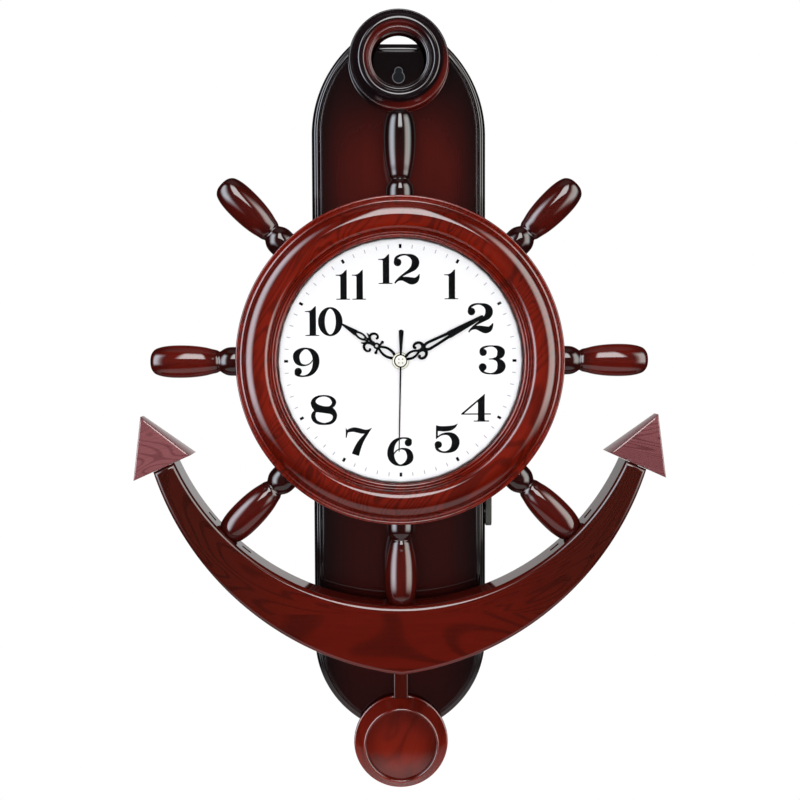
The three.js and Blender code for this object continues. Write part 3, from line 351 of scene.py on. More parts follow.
def fit(obj, finish, body, slot, *nodes):
    """The piece gets its finish, rides on its body and stands for its nodes. The slot is not used."""
    obj.data.materials.clear()
    obj.data.materials.append(finish)
    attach(obj, body)
    if nodes:
        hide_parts(*nodes)
    return obj


def shoulder(centre_x, centre_y, radius, rise, inset, upper):
    """Half of an end of the board: an arc from the straight side in to the flat."""
    sweep = math.asin((rise - inset) / (radius - inset))
    ends = (0, sweep) if upper else (-sweep, 0)
    return arc(centre_x, centre_y, radius - inset, *ends, 26)


def board_outline(inset):
    """The board's edge moved in by an inset, from the lower right shoulder anticlockwise."""
    right = np.concatenate([shoulder(-11.66, -270.0, 94.16, 80.0, inset, False),
                            shoulder(-32.8, 213.0, 115.3, 86.0, inset, True)])
    return np.concatenate([right, right[::-1] * (-1, 1)])


def circle(x, y, radius, sides=40):
    return arc(x, y, radius, 0, 2 * math.pi * (1 - 1 / sides), sides)


def rounded(x0, x1, y0, y1, corner, steps=8):
    """A rectangle with round corners, anticlockwise from the right of its bottom edge."""
    quarter = math.pi / 2
    centres = ((x1 - corner, y0 + corner), (x1 - corner, y1 - corner), (x0 + corner, y1 - corner),
               (x0 + corner, y0 + corner))
    return np.concatenate([arc(x, y, corner, (k - 1) * quarter, k * quarter, steps)
                           for k, (x, y) in enumerate(centres)])


def keyhole(grow):
    """The slot's circle over the head's: from between their centres, the farther of the two edges in each
    direction."""
    middle, half_gap, slot_r, head_r = 269.2, 2.8, 4.2, 6.1
    turn = np.linspace(0, 2 * math.pi, 72, endpoint=False)
    reach = [shift * np.sin(turn) + np.sqrt((radius + grow) ** 2 - (shift * np.cos(turn)) ** 2)
             for shift, radius in ((half_gap, slot_r), (-half_gap, head_r))]
    far_edge = np.maximum(*reach)
    return np.stack([far_edge * np.cos(turn), middle + far_edge * np.sin(turn)], -1)


def window(grow):
    """The opening behind the movement."""
    return rounded(-48 - grow, 48 + grow, -57 - grow, 49 + grow, 10 + grow)


def walls(outline_at, line):
    """Faces between the outlines that outline_at gives for each inset and depth of a line."""
    return skin(np.stack([at_depth(outline_at(inset), z) for inset, z in line]))


BOARD_SCREWS = ((-66, 62), (66, 62), (-66, -70), (66, -70))
RING_SCREWS = ((-36, 275), (36, 275))
MOUTH_R, BORE_R = 4.2, 2.1
BACK_EASE, GROOVE_END = 0.9, 9.9
board_edge = np.concatenate([
    flow([(BACK_EASE, 0), (BACK_EASE, 0), (0.2, 0.3), (0, 0.9), (0, 0.9)], 3),
    flow([(0, 8.6), (0, 8.6), (0.35, 10.2), (1.15, 12.1), (2.1, 13.9), (2.9, 14.9), (3.9, 15.3), (3.9, 15.3),
          (4.15, 15.7), (4.3, 16.4), (4.9, 17.35), (5.8, 17.85), (6.9, 18.0), (6.9, 18.0), (7.5, 18.0), (7.5, 18.0),
          (8.05, 17.3), (8.3, 17.05), (8.3, 17.05), (8.9, 17.2), (9.5, 17.65), (GROOVE_END, 18.0),
          (GROOVE_END, 18.0)], 3)])
bores = [lambda radius, x=x, y=y: circle(x, y, radius) for x, y in BOARD_SCREWS + RING_SCREWS]
bore_line = ((MOUTH_R, 0), (MOUTH_R, 0.3), (BORE_R, 2.6), (BORE_R, BOARD_FRONT))
board = make("board", [
    walls(board_outline, board_edge),
    walls(window, ((0.6, 0), (0, 0.6), (0, 17.4), (0.6, BOARD_FRONT))),
    walls(keyhole, ((0.3, 0), (0, 0.4), (0, 17.1), (0.2, 17.6), (0.65, BOARD_FRONT))),
    *[walls(bore, bore_line) for bore in bores],
    lid(board_outline(BACK_EASE), 0, [window(0.6), keyhole(0.3), *[bore(MOUTH_R) for bore in bores]]),
    lid(board_outline(GROOVE_END), BOARD_FRONT, [window(0.6), keyhole(0.65), *[bore(BORE_R) for bore in bores]])], 30)
grain_along(board, lambda x, y: y, lambda x, y: x)


def timber(tone, stretch, rings, seed):
    """The timber's figure, each from 0 to 1: level lines of a slow noise drawn out along the fibres, the fine
    fibres, and broad patches; last, the place in the timber that they are worked out from."""
    grain = tone.node("Attribute", settings={"attribute_name": "grain"}, output=1)
    moved = grain.shifted(seed, 2 * seed, 3 * seed)
    slow = moved.scaled(0.02 / stretch, 0.02, 0.02)
    field = slow.noise(1.0, 2.0, 0.45, 0.7)
    level = tone.math("SINE", field * (rings * 2 * math.pi)) * 0.5 + 0.5
    fibre = moved.scaled(0.035, 1.0, 1.0).noise(1.0, 3.0, 0.6)
    patch = slow.noise(0.7, 1.0, 0.5, 0.3)
    return level, fibre, patch, moved


def lacquer(shader, colour, rough, moved, ripple=0.03):
    """Clear coats over the colour: a hard gloss with the faintest unevenness, duller where it is looked at
    from halfway round the side."""
    facing = moved.node("LayerWeight", {"Blend": 0.5}, output=1)
    gloss = 1 - 0.62 * facing.rise(0.2, 0.45) * (1 - facing.rise(0.72, 0.88))
    height = moved.scaled(0.05, 0.05, 0.05).noise(1.0, 1.0)
    bump = moved.node("Bump", {"Strength": ripple, "Distance": 0.002, "Height": height})
    dress(shader, {"Base Color": colour, "Roughness": rough, "Normal": bump, "Specular IOR Level": 0.02,
                   "Coat Weight": gloss, "Coat Roughness": 0.035, "Coat IOR": 1.5})


board_finish, tone, shader = new_finish("black_red_lacquer")
level, fibre, patch, moved = timber(tone, 8.0, 5.0, 11.0)
place = tone.here()
PER_HALF_WIDTH = 12.12
# From 0 in the board's middle to 1 at its sides
sideways = abs(place.axis("X")) * PER_HALF_WIDTH
height = place.axis("Z")
cloud = place.noise(14.0, 2.0)
glow = (1 - sideways.rise(0.42, 1.0)) * (1 - (height + 0.05 * cloud).rise(-0.075, 0.035))
glow = glow * (1 - 0.6 * (1 - height.rise(-0.44, -0.30))) * (1 - 0.5 * (1 - height.rise(-0.60, -0.50)))
colour = (glow * (0.62 + 0.16 * level + 0.5 * fibre)).mix(BLACK_RED, GLOW_RED)
lacquer(shader, colour, 0.12 + 0.06 * fibre, moved)
fit(board, board_finish, "clock", "rosewood_black", "back_board")


# Top ring: a turned hoop with a bead at its foot, a rounded crown and a lower bead round its bore, screwed to
# the board from behind. It is nearly black, red round its outer edge to the lower right and its bore to the upper
# left.
RING_HEIGHT, RING_FRONT = 280.0, 37.3


def turned(profile, sides=128, x=0.0, y=0.0):
    """A profile of radius and depth turned about the z axis through x, y."""
    radius, depth = np.asarray(profile, float).T
    turn = np.linspace(0, 2 * math.pi, sides, endpoint=False)
    across = np.stack([x + radius[:, None] * np.cos(turn), y + radius[:, None] * np.sin(turn)], -1)
    return np.concatenate([across, np.broadcast_to(depth[:, None, None], (*across.shape[:2], 1))], -1)


ring_flank = [
    (25.5, 18.3), (25.5, 18.3), (46.2, 18.3), (46.2, 18.3), (47, 19.1), (47, 19.1), (47, 24), (46.9, 26.6),
    (46.4, 28.1), (45.9, 28.9), (45.2, 29.1), (44.5, 28.6), (44.5, 28.6), (43.8, 28.6), (43.8, 28.6), (42.0, 30.7),
    (40.1, 33.3)]
below_front = [
    (38.8, 2.0), (38.0, 0.8), (37.2, 0.28), (36.4, 0.08), (35.5, 0), (33.8, 0.05), (32.8, 0.4), (31.9, 1.3),
    (31.0, 2.7), (30.1, 4.1), (30.1, 4.1), (29.8, 4.1), (29.1, 3.55), (28.2, 3.45), (27.3, 3.9), (26.6, 4.8),
    (26.6, 4.8), (26.2, 5.0), (25.8, 5.4), (25.5, 6.2), (25.5, 6.2)]
ring_profile = flow(ring_flank + [(reach, RING_FRONT - drop) for reach, drop in below_front], 5)
ring = make("ring", [skin(turned(ring_profile, 160, 0, RING_HEIGHT), True)], 40)
grain_along(ring, lambda x, y: x, lambda x, y: y)
ring_finish, tone, shader = new_finish("black_lacquer")
_, fibre, _, moved = timber(tone, 5.0, 5.0, 3.0)
SPRAY_CENTRE = 0.009
from_centre = tone.here().shifted(0, 0, -SPRAY_CENTRE).scaled(1, 0, 1)
radius = from_centre.length()
right, up = from_centre.axis("X"), from_centre.axis("Z")
outer_red = 0.7 * radius.rise(0.0402, 0.0425) * (20 * right - 24 * up).rise(0.3, 1.3)
inner_red = 0.6 * (1 - radius.rise(0.0315, 0.0340)) * (22 * up - 22 * right).rise(-0.4, 0.9)
red = tone.math("MAXIMUM", outer_red, inner_red) * (0.55 + 0.5 * fibre) + 0.02
lacquer(shader, red.between((15, 13, 16), (112, 26, 16)), 0.12 + 0.06 * fibre, moved)
fit(ring, ring_finish, "clock", "rosewood_black", "top_ring")


# Hanger cup: a blackened steel cup pressed into the keyhole from behind. Its open side takes the wall screw's
# head. Its closed end shows from the front, with a rolled rim, a pressed circle and four punch marks.
CUP_END = 16.3
CORNERS = ((1, 1), (-1, 1), (-1, -1), (1, -1))
pressed_circle = [(3.1, CUP_END - 0.45), (3.6, CUP_END - 0.45), (3.55, CUP_END - 0.1), (3.15, CUP_END - 0.1)]
cup = make("hanger_cup", [
    walls(keyhole, ((-0.62, 0.4), (-0.12, 0.4), (-0.12, CUP_END - 0.2), (-0.25, CUP_END), (-0.85, CUP_END),
                    (-0.95, CUP_END - 0.3))),
    lid(keyhole(-0.95), CUP_END - 0.3),
    walls(keyhole, ((-0.62, 0.4), (-0.62, CUP_END - 0.6))),
    lid(keyhole(-0.62), CUP_END - 0.6),
    skin(turned(pressed_circle, 48, 0, HANG), True)])
punch_line = [(0, CUP_END - 0.35), (0.7, CUP_END - 0.2), (0.9, CUP_END + 0.5), (0, CUP_END + 0.5)]
carve(cup, [make("punch", [skin(turned(punch_line, 16, 1.2 * x, HANG + 1.2 * y))]) for x, y in CORNERS])
black_steel, tone, shader = new_finish("blackened_steel")
place = tone.here()
scale = place.noise(500.0, 3.0)
# The closed end's rolled rim is painted a lighter grey, a painted highlight along its edge.
rim_highlight = (0 - place.axis("Y")).rise(0.01608, 0.01618)
dress(shader, {"Base Color": rim_highlight.mix(scale.between((14, 15, 17), (30, 32, 35)), linear(104, 106, 110)),
               "Roughness": 0.5 + 0.2 * scale, "Specular IOR Level": 0.03})
fit(cup, black_steel, "clock", "steel")


# Wheel back: a plain turned disc that stands the wheel off the board. A fan-shaped channel is routed in its back
# for the pendulum to swing in, and it is stained dark all over.
def side_slab(outline, z0, z1):
    """A straight-sided slab of an outline between two depths."""
    return [skin(np.stack([at_depth(outline, z0), at_depth(outline, z1)])), lid(outline, z0), lid(outline, z1)]


BACK_BORE_R, BACK_R, BACK_FOOT, BACK_FACE = 60, 126, 18.3, 35
back_section = [(BACK_BORE_R, BACK_FOOT), (125.2, BACK_FOOT), (BACK_R, 19.1), (BACK_R, 34.2), (125.2, BACK_FACE),
                (BACK_BORE_R, BACK_FACE)]
wheel_back = make("wheel_disc", [skin(turned(back_section, 200), True)])
SWING, PIVOT_UP, ROD_ROOM = math.radians(5), 28, 9.9
half_at = lambda y: (PIVOT_UP - y) * math.tan(SWING) + ROD_ROOM
high, low = -52, -128
channel = np.array([(-half_at(high), high), (-half_at(low), low), (half_at(low), low), (half_at(high), high)])
carve(wheel_back, [make("channel", side_slab(channel, 17, 31.3))])
grain_along(wheel_back, lambda x, y: x, lambda x, y: y)
dark_finish, tone, shader = new_finish("dark_rosewood_lacquer")
level, fibre, patch, moved = timber(tone, 6.0, 7.0, 7.0)
shade = 0.25 + 0.4 * fibre + 0.25 * patch + 0.12 * level
lacquer(shader, shade.between((30, 8, 7), (92, 20, 14)), 0.12 + 0.06 * fibre, moved)
fit(wheel_back, dark_finish, "clock", "rosewood_dark", "wheel_back")


# Wheel rim: one turned ring. From outside in: a flange, a small bead in a groove, the broad hump, a second
# groove and the lip over the dial. Figured red wood under thick lacquer, bored for the eight pegs.
HANDLE_Z = 48.45
PEG_R = 5.0

rim_profile = flow([
    (114.5, 35.3), (114.5, 35.3), (145.6, 35.3), (145.6, 35.3), (146, 35.7), (146, 35.7), (146, 61.6), (146, 61.6),
    (146.5, 62), (146.5, 62), (149, 62.1), (149.8, 62.7), (150, 63.6), (150, 65.2), (149.5, 66.2), (148.5, 66.6),
    (147.4, 66.4), (146.8, 65.8), (146.8, 65.8), (146.3, 65.8), (146.3, 65.8), (145.9, 66.4), (145.3, 66.85),
    (144.5, 67.25), (144.0, 67.35), (143.7, 67.1), (143.6, 66.8), (143.6, 66.8), (143.25, 66.8), (143.25, 66.8),
    (143.0, 68.0), (142.5, 70.0), (141.5, 72.1), (139.5, 74.3), (136.3, 76.1), (132.9, 77.2), (129.5, 77.5),
    (125.3, 77.3), (121.9, 76.4), (119.9, 74.9), (119.1, 72.9), (118.9, 70.3), (118.9, 70.3), (118.6, 69.2),
    (117.9, 69), (117.9, 69), (117.5, 69.5), (117.1, 70.15), (116.3, 70.6), (115.6, 70.3), (115.2, 69.5),
    (115.2, 69.5), (115.1, 68.8), (114.9, 68.9), (114.9, 68.9), (114.7, 69.4), (113.9, 69.8), (112.9, 69.4),
    (112.2, 68.5), (112.0, 67.6), (112.0, 67.6), (112.0, 66.8), (112.0, 66.8), (114.5, 66.8), (114.5, 66.8)], 5)
rim = make("rim", [skin(turned(rim_profile, 288), True)], 40)


def outward(grid, eighth):
    """A turned grid laid along the radius of one of the eight handles, its depth running out from the axis."""
    a, b, reach = grid[..., 0], grid[..., 1], grid[..., 2]
    turn = math.radians(45 * eighth)
    x = reach * math.cos(turn) + a * math.sin(turn)
    y = reach * math.sin(turn) - a * math.cos(turn)
    return np.stack([x, y, HANDLE_Z + b], -1)


PEG_END, PEG_BORE_R = 134, 5.3
peg_bore = turned([(0, PEG_END), (PEG_BORE_R, PEG_END), (PEG_BORE_R, 150), (0, 150)], 32)
peg_bores = [make(f"bore_{k}", [skin(outward(peg_bore, k))]) for k in range(8)]
carve(rim, peg_bores, crease=40)
grain_along(rim, lambda x, y: 0.5 * x + 0.87 * y, lambda x, y: 0.5 * y - 0.87 * x)
red_finish, tone, shader = new_finish("red_rosewood_lacquer")
level, fibre, patch, moved = timber(tone, 4.5, 24.0, 5.0)
shade = 0.08 + 0.28 * patch.rise(0.30, 0.66) + 0.36 * fibre + 0.42 * level.rise(0.0, 0.6)
radius = tone.here().shifted(0, 0, HANG / 1000).scaled(1, 0, 1).length()
# The hump from 126.5 to 145.5 mm out is painted darker, a painted shade so that its reflections read grey.
shade = shade * (1 - 0.42 * radius.rise(0.1265, 0.1345) * (1 - radius.rise(0.1430, 0.1455)))
lacquer(shader, shade.between((42, 7, 4), (116, 23, 8)), 0.1 + 0.06 * fibre, moved)
fit(rim, red_finish, "clock", "rosewood_red", "wheel_rim")


# Handles: eight spindles turned alike, each with a ball bead at the rim, a narrow neck and a long belly, glued
# by a peg into the rim. The tips of the lower three stand in sockets in the crescent.
HANDLES = ("right", "upper_right", "top", "upper_left", "left", "lower_left", "bottom", "lower_right")
ROOT, NECK, TIP = 146.3, 165.8, 229.3
BEAD_R, BELLY_R, NECK_R = 13.4, 15.1, 9.4
# Radius and place along the bead and the belly, as shares of each one's greatest radius and length.
BEAD = [(0.30, 0.0), (0.62, 0.0), (0.90, 0.06), (0.985, 0.2), (1.0, 0.36), (0.985, 0.56), (0.93, 0.72), (0.83, 0.86),
        (0.74, 0.95)]
BELLY = [(0.70, 0.045), (0.765, 0.11), (0.86, 0.20), (0.93, 0.30), (0.98, 0.42), (1.0, 0.55), (0.99, 0.68),
         (0.95, 0.78), (0.87, 0.87), (0.74, 0.94), (0.5, 0.985), (0.22, 0.998), (0, 1.0)]
PEG_TIP = 134.3
handle_line = flow([
    (0, PEG_TIP), (0, PEG_TIP), (PEG_R, PEG_TIP), (PEG_R, PEG_TIP), (PEG_R, ROOT), (PEG_R, ROOT),
    *[(share * BEAD_R, ROOT + along * (NECK - ROOT)) for share, along in BEAD[:1] + BEAD],
    (NECK_R, NECK), (NECK_R, NECK + 0.6),
    *[(share * BELLY_R, NECK + along * (TIP - NECK)) for share, along in BELLY]], 5)
handle_finish, tone, shader = new_finish("handle_lacquer")
SEED = 17.0
level, fibre, _, moved = timber(tone, 6.0, 7.0, SEED)
along = moved.axis("X") - SEED
stain = along.rise(163, 180) * (1 - 0.7 * along.rise(206, 229)) * 0.72 + 0.18
height = tone.here().axis("Z")
stain = stain * (1 - 0.95 * height.rise(-0.15, -0.06)) * (1 - 0.3 * abs(height + HANG / 1000).rise(0.05, 0.11))
shade = stain * (0.45 + 0.75 * fibre + 0.3 * (level.rise(0.05, 0.5) - 0.5))
lacquer(shader, shade.between((18, 7, 7), (88, 19, 12)), 0.1 + 0.06 * fibre, moved)
for eighth, where in enumerate(HANDLES):
    handle = make("handle_" + where + "_turned", [skin(outward(turned(handle_line, 96), eighth))], 50)
    c, s = math.cos(math.radians(45 * eighth)), math.sin(math.radians(45 * eighth))
    grain_along(handle, lambda x, y: x * c + y * s, lambda x, y: y * c - x * s)
    fit(handle, handle_finish, "clock", "rosewood_dark", "handle_" + where)


# Crescent: the anchor's arms, sawn from a thick plank with an inner arc round the wheel and two outer arcs that
# meet in a point, its edges eased. The lower handles' tips sit in sockets, with a biscuit slot beside each.
INNER_R, OUTER_R = 226.0, 274.5
ARC_X, ARC_Y = 36.0, -17.7
CRESCENT_BACK, CRESCENT_FRONT = 30.9, 67.4
END = math.radians(24)
PLANK_EASE = 4.2


def crescent_outline(inset):
    """The plank's edge moved in: two arcs of one circle each side, an inner arc, and straight ends, each met
    where its circle crosses the end line moved in."""
    along, inward = np.array([math.cos(END), -math.sin(END)]), np.array([-math.sin(END), -math.cos(END)])
    inner, outer = INNER_R + inset, OUTER_R - inset
    reach = inset * inward - (-ARC_X, ARC_Y)
    step = -along @ reach + math.sqrt((along @ reach) ** 2 - reach @ reach + outer**2)
    corner = reach + step * along
    end_turn = math.atan2(corner[1], corner[0])
    start = -END - math.asin(inset / inner)
    bowl = arc(0, 0, inner, math.pi - start, 2 * math.pi + start, 200)
    right = arc(-ARC_X, ARC_Y, outer, end_turn, -math.acos(ARC_X / outer), 110)
    return np.concatenate([bowl, right, right[-2::-1] * (-1, 1)])


def eased_slab(outline_at, line, back, front):
    """A slab with one edge at both faces: the line gives how far the edge is in at each depth from a face."""
    steps = [(inset, back + z) for inset, z in line] + [(inset, front - z) for inset, z in line[::-1]]
    end = outline_at(line[0][0])
    return [walls(outline_at, steps), lid(end, back), lid(end, front)]


crescent_edge = flow([(PLANK_EASE, 0), (PLANK_EASE, 0), (3.3, 0.15), (1.9, 0.8), (0.8, 1.9), (0.15, 3.3),
                      (0, PLANK_EASE), (0, PLANK_EASE)], 3)
crescent = make("crescent_plank", eased_slab(crescent_outline, crescent_edge, CRESCENT_BACK, CRESCENT_FRONT))
tip_line = [(0, 196)] + [(radius + 0.3, reach + (0.3 if radius < 8 else 0))
                         for radius, reach in handle_line if reach > 198 and radius > 0] + [(0, TIP + 0.3)]
carve(crescent, [make(f"socket_{k}", [skin(outward(turned(tip_line, 48), k))]) for k in (5, 6, 7)])


def biscuit_slot(eighth, side):
    """A short narrow slot in the crescent's inner wall, beside a handle's tip."""
    turn = math.radians(45 * eighth + side * 5.6)
    out, along = np.array([math.cos(turn), math.sin(turn)]), np.array([-math.sin(turn), math.cos(turn)])
    corners = [224 * out - 5 * along, 224 * out + 5 * along, 231 * out + 5 * along, 231 * out - 5 * along]
    return make(f"slot_{eighth}_{side}", side_slab(np.array(corners), HANDLE_Z - 2.4, HANDLE_Z + 2.4))


carve(crescent, [biscuit_slot(k, side) for k in (5, 6, 7) for side in (-1, 1)])
turning = lambda x, y: np.arctan2(x, -y) * 245.0
grain_along(crescent, turning, np.hypot)
crescent_finish, tone, shader = new_finish("crescent_lacquer")
level, fibre, patch, moved = timber(tone, 9.0, 26.0, 9.0)
shade = 0.36 * patch.rise(0.30, 0.68) + 0.34 * fibre + 0.36 * level.rise(0.0, 0.4)
place = tone.here()
middle = 1 - abs(place.axis("X")).rise(0.05, 0.20)
wood_tone_and_painted_glow = middle.between((64, 17, 9), (88, 15, 5))
lacquer(shader, shade.mix(linear(26, 5, 3), wood_tone_and_painted_glow), 0.1 + 0.06 * fibre, moved)
fit(crescent, crescent_finish, "clock", "rosewood_red", "crescent")


# Arrowheads: two wedges of a paler mauve wood, thick at the base and half as thick at the point, with eased
# edges, each pinned to the crescent's end by a beech dowel.
ARROW_HALF, ARROW_LONG = 28.2, 51.0
BASE_HALF, POINT_HALF = 18.25, 9.0
ARROW_R = 238.0
CRESCENT_MIDDLE = (CRESCENT_BACK + CRESCENT_FRONT) / 2


def past_end(points, side):
    """From a crescent end's own axes (out from the wheel, on past the end, depth) to the clock's."""
    out, on, deep = (ARROW_R + points[:, 0]), points[:, 1], points[:, 2]
    x = out * math.cos(END) + on * math.sin(END)
    y = -out * math.sin(END) + on * math.cos(END)
    return np.stack([side * x, y, CRESCENT_MIDDLE + deep], -1)


def arrow_ring(inset, face):
    """The triangle moved in by an inset on one face; the thickness falls evenly from base to point."""
    slope = math.atan2(ARROW_HALF, ARROW_LONG - 0.3)
    tip = ARROW_LONG - inset / math.sin(slope)
    half = (tip - 0.3 - inset) * math.tan(slope)
    corners = np.array([(-half, 0.3 + inset), (half, 0.3 + inset), (0, tip)])
    edges = [np.linspace(corners[k], corners[(k + 1) % 3], 12, endpoint=False) for k in range(3)]
    flat = np.concatenate(edges)
    thick = BASE_HALF + (POINT_HALF - BASE_HALF) * flat[:, 1] / ARROW_LONG
    return np.c_[flat, face * thick]


arrow_finish, tone, shader = new_finish("mauve_lacquer")
level, fibre, patch, moved = timber(tone, 3.8, 30.0, 21.0)
shade = 0.28 * patch.rise(0.3, 0.7) + 0.42 * fibre + 0.32 * level.rise(0.0, 0.4)
lacquer(shader, shade.between((72, 27, 31), (136, 82, 85)), 0.12 + 0.06 * fibre, moved)
for side, name in ((-1, "left"), (1, "right")):
    rows = []
    for inset, drop in flow([(1.5, 0), (1.5, 0), (0.55, 0.25), (0.15, 0.7), (0, 1.6), (0, 1.6)], 3):
        row = arrow_ring(inset, -1)
        row[:, 2] += drop
        rows.append(row)
    front_rows = [row * (1, 1, -1) for row in rows[::-1]]
    rows = [past_end(row, side) for row in rows + front_rows]
    parts = [skin(np.stack(rows))]
    for row in (rows[0], rows[-1]):
        faces = tessellate_polygon([[Vector(point) for point in row]])
        parts.append((row, [list(face) for face in faces]))
    head = make("arrow_" + name, parts)
    pin = turned([(0, -12), (4.3, -12), (4.3, 11.3), (0, 11.3)], 32)
    pin_points = np.stack([pin[..., 0], pin[..., 2], pin[..., 1]], -1).reshape(-1, 3)
    hole = make("pin_hole", [(past_end(pin_points, side), skin(pin)[1])])
    carve(head, [hole])
    grain_along(head, lambda x, y: x - 0.25 * side * y, lambda x, y: y + 0.25 * side * x)
    fit(head, arrow_finish, "clock", "mauve_wood", "arrowhead_" + name)


# Dial: a white painted disc on hardboard with a black printed minute track and upright numerals, thin strokes
# and thick ones with ball ends. The printing stands a hair proud of the paint. Nothing else is printed.
DIAL_BACK, DIAL_FRONT, PRINT_TOP, PRINT_FOOT = 56.2, 57.0, 57.09, 56.97
DIAL_R, BUSH_HOLE_R = 114.2, 4.3
dial_section = [(BUSH_HOLE_R, DIAL_BACK), (DIAL_R, DIAL_BACK), (DIAL_R, DIAL_FRONT), (BUSH_HOLE_R, DIAL_FRONT)]
dial_disc = make("dial_disc", [skin(turned(dial_section, 200), True)])
white_finish, tone, shader = new_finish("white_dial_paint")
place = tone.here()
outer = place.shifted(0, 0, HANG / 1000).scaled(1, 0, 1).length().rise(0.055, 0.118)
speck = place.noise(900.0, 2.0)
colour = outer.between((250, 249, 251), (251, 252, 255))
height = tone.node("Bump", {"Strength": 0.04, "Distance": 0.0002, "Height": speck})
dress(shader, {"Base Color": colour, "Roughness": 0.42 + 0.1 * speck, "Normal": height,
               "Specular IOR Level": 0.1})
fit(dial_disc, white_finish, "clock", "white_paint", "dial")


def cut_out(shapes, z0, z1, gaps=()):
    """One flat body with the outline of all the shapes together, less the gaps: the plane is split along every
    edge, the triangles inside a shape and outside the gaps are kept, and walls stand on the free edges."""
    points, faces = [], []
    for shape in [*shapes, *gaps]:
        shape = np.asarray(shape, float)
        x, y = shape.T
        if np.sum(x * np.roll(y, -1) - y * np.roll(x, -1)) < 0:
            shape = shape[::-1]
        faces.append(list(range(len(points), len(points) + len(shape))))
        points += [Vector(point) for point in shape]
    flat, _, triangles, _, _, source = delaunay_2d_cdt(points, [], faces, 0, 1e-4)
    kept = np.array([face for face, of in zip(triangles, source) if of and max(of) < len(shapes)])
    edges = np.concatenate([kept[:, [0, 1]], kept[:, [1, 2]], kept[:, [2, 0]]])
    known = set(map(tuple, edges.tolist()))
    free = np.array([edge for edge in known if edge[::-1] not in known])
    plane = np.array([list(point) for point in flat])
    count = len(plane)
    corners = np.concatenate([at_depth(plane, z0), at_depth(plane, z1)])
    walls = np.c_[free[:, 0], free[:, 1], free[:, 1] + count, free[:, 0] + count]
    return corners, (kept + count).tolist() + kept[:, ::-1].tolist() + walls.tolist()


def stroke(points, steps=5):
    """A pen stroke as a chain of triangles, two a link: the middle line and the width flow through the points."""
    line = flow(points, steps)
    way = np.gradient(line[:, :2], axis=0)
    way /= np.maximum(np.linalg.norm(way, axis=1, keepdims=True), 1e-9)
    offset = np.stack([-way[:, 1], way[:, 0]], -1) * line[:, 2:3] / 2
    left, right = line[:, :2] + offset, line[:, :2] - offset
    links = [np.stack([right[:-1], right[1:], left[1:]], 1), np.stack([right[:-1], left[1:], left[:-1]], 1)]
    links = np.concatenate(links)
    first, second = links[:, 1] - links[:, 0], links[:, 2] - links[:, 0]
    return list(links[np.abs(first[:, 0] * second[:, 1] - first[:, 1] * second[:, 0]) > 1e-4])


def ellipse(x, y, wide, high, sides=40):
    turn = np.linspace(0, 2 * math.pi, sides, endpoint=False)
    return np.stack([x + wide * np.cos(turn), y + high * np.sin(turn)], -1)


# Each figure is drawn in hundredths of its height, from its lower left corner.
def figure_one():
    flag = flow([(0, 83.5), (0, 83.5), (9, 83.6), (17, 85), (24, 89.5), (31, 97), (36.5, 100), (36.5, 100)], 4)
    stem = [(36.5, 4.5), (38.5, 3.6), (47, 3.2), (47, 0), (1, 0), (1, 3.2), (12.5, 3.6), (14.8, 5), (14.8, 76.5),
            (12.5, 79), (8, 80), (0, 80)]
    return [np.concatenate([flag, stem])], []


def figure_two():
    return [ellipse(13.1, 72.5, 12.6, 12.6),
            *stroke([(3.6, 76, 5), (6.5, 84, 8), (14, 91.5, 8.5), (26.6, 96.6, 6.5), (42.2, 97, 6), (59.4, 91.5, 15),
                     (69.4, 81.3, 23), (71.5, 68.8, 25), (65.6, 56, 21), (53, 45.3, 13), (37.5, 35.5, 8.5),
                     (23.4, 25.5, 7), (11, 13.5, 6.5), (4, 4.2, 5)]),
            *stroke([(6.3, 7.8, 4), (15.6, 16.2, 9), (29.7, 19.2, 13), (45.3, 15.6, 20), (59.4, 11.9, 23.5),
                     (71.9, 14.5, 19), (79.7, 23.4, 11), (84.4, 34.4, 2)])], []


def figure_three():
    return [ellipse(15.6, 76.2, 12.8, 12.6), ellipse(13.9, 25.5, 13.6, 13.4),
            *stroke([(4.5, 79, 4), (8.5, 86.5, 8), (19.7, 94, 7.5), (36.2, 97.6, 5), (52, 97, 6), (67, 91.5, 16),
                     (77, 79.5, 27), (74, 66.5, 24), (64, 56.8, 12), (50, 54, 5.5), (34.8, 53.2, 3)]),
            *stroke([(49.9, 52.6, 4), (62, 50.2, 9), (73.5, 42, 22), (78.8, 28.8, 29), (73.2, 15.1, 24),
                     (60.8, 6.2, 13), (44.4, 2.6, 5.5), (26.6, 4.6, 6.5), (12.9, 11, 8), (4.2, 20.5, 6)])], []


def figure_four():
    return [[(0.4, 26), (13.5, 31), (58.5, 70), (60.7, 69), (85.2, 90), (86.6, 100), (84.4, 99.2), (0.4, 29)],
            [(60.7, 2), (85.2, 2), (85.2, 97), (60.7, 76)],
            [(1, 25.2), (107.4, 25.2), (107.4, 29.8), (3, 29.8)],
            [(46, 0), (101, 0), (101, 4.2), (46, 4.2)],
            [(57, 3.6), (60.8, 6.5), (85.1, 6.5), (89, 3.6)]], []


def figure_five():
    return [[(4.4, 47.8), (8.2, 48.4), (11.6, 54), (11.6, 92), (9.5, 94.6), (4.9, 94.6)],
            *stroke([(6.5, 84.6, 19), (20, 83.2, 17.5), (34, 82.6, 18.5), (48, 83.8, 17.5), (60, 86.6, 14.5),
                     (70, 91.6, 9), (79, 100, 1.5)]),
            *stroke([(6, 48.6, 3), (14, 57, 5), (28, 64.2, 7), (46, 65.5, 11), (61, 58.6, 20), (70.6, 46, 26),
                     (71.6, 31, 26.5), (64.5, 16, 22), (51, 6.4, 12), (36, 3, 6.5), (22.5, 4.8, 7), (10.5, 12, 9),
                     (4, 23, 8)]),
            ellipse(12.8, 28.8, 12.6, 12)], []


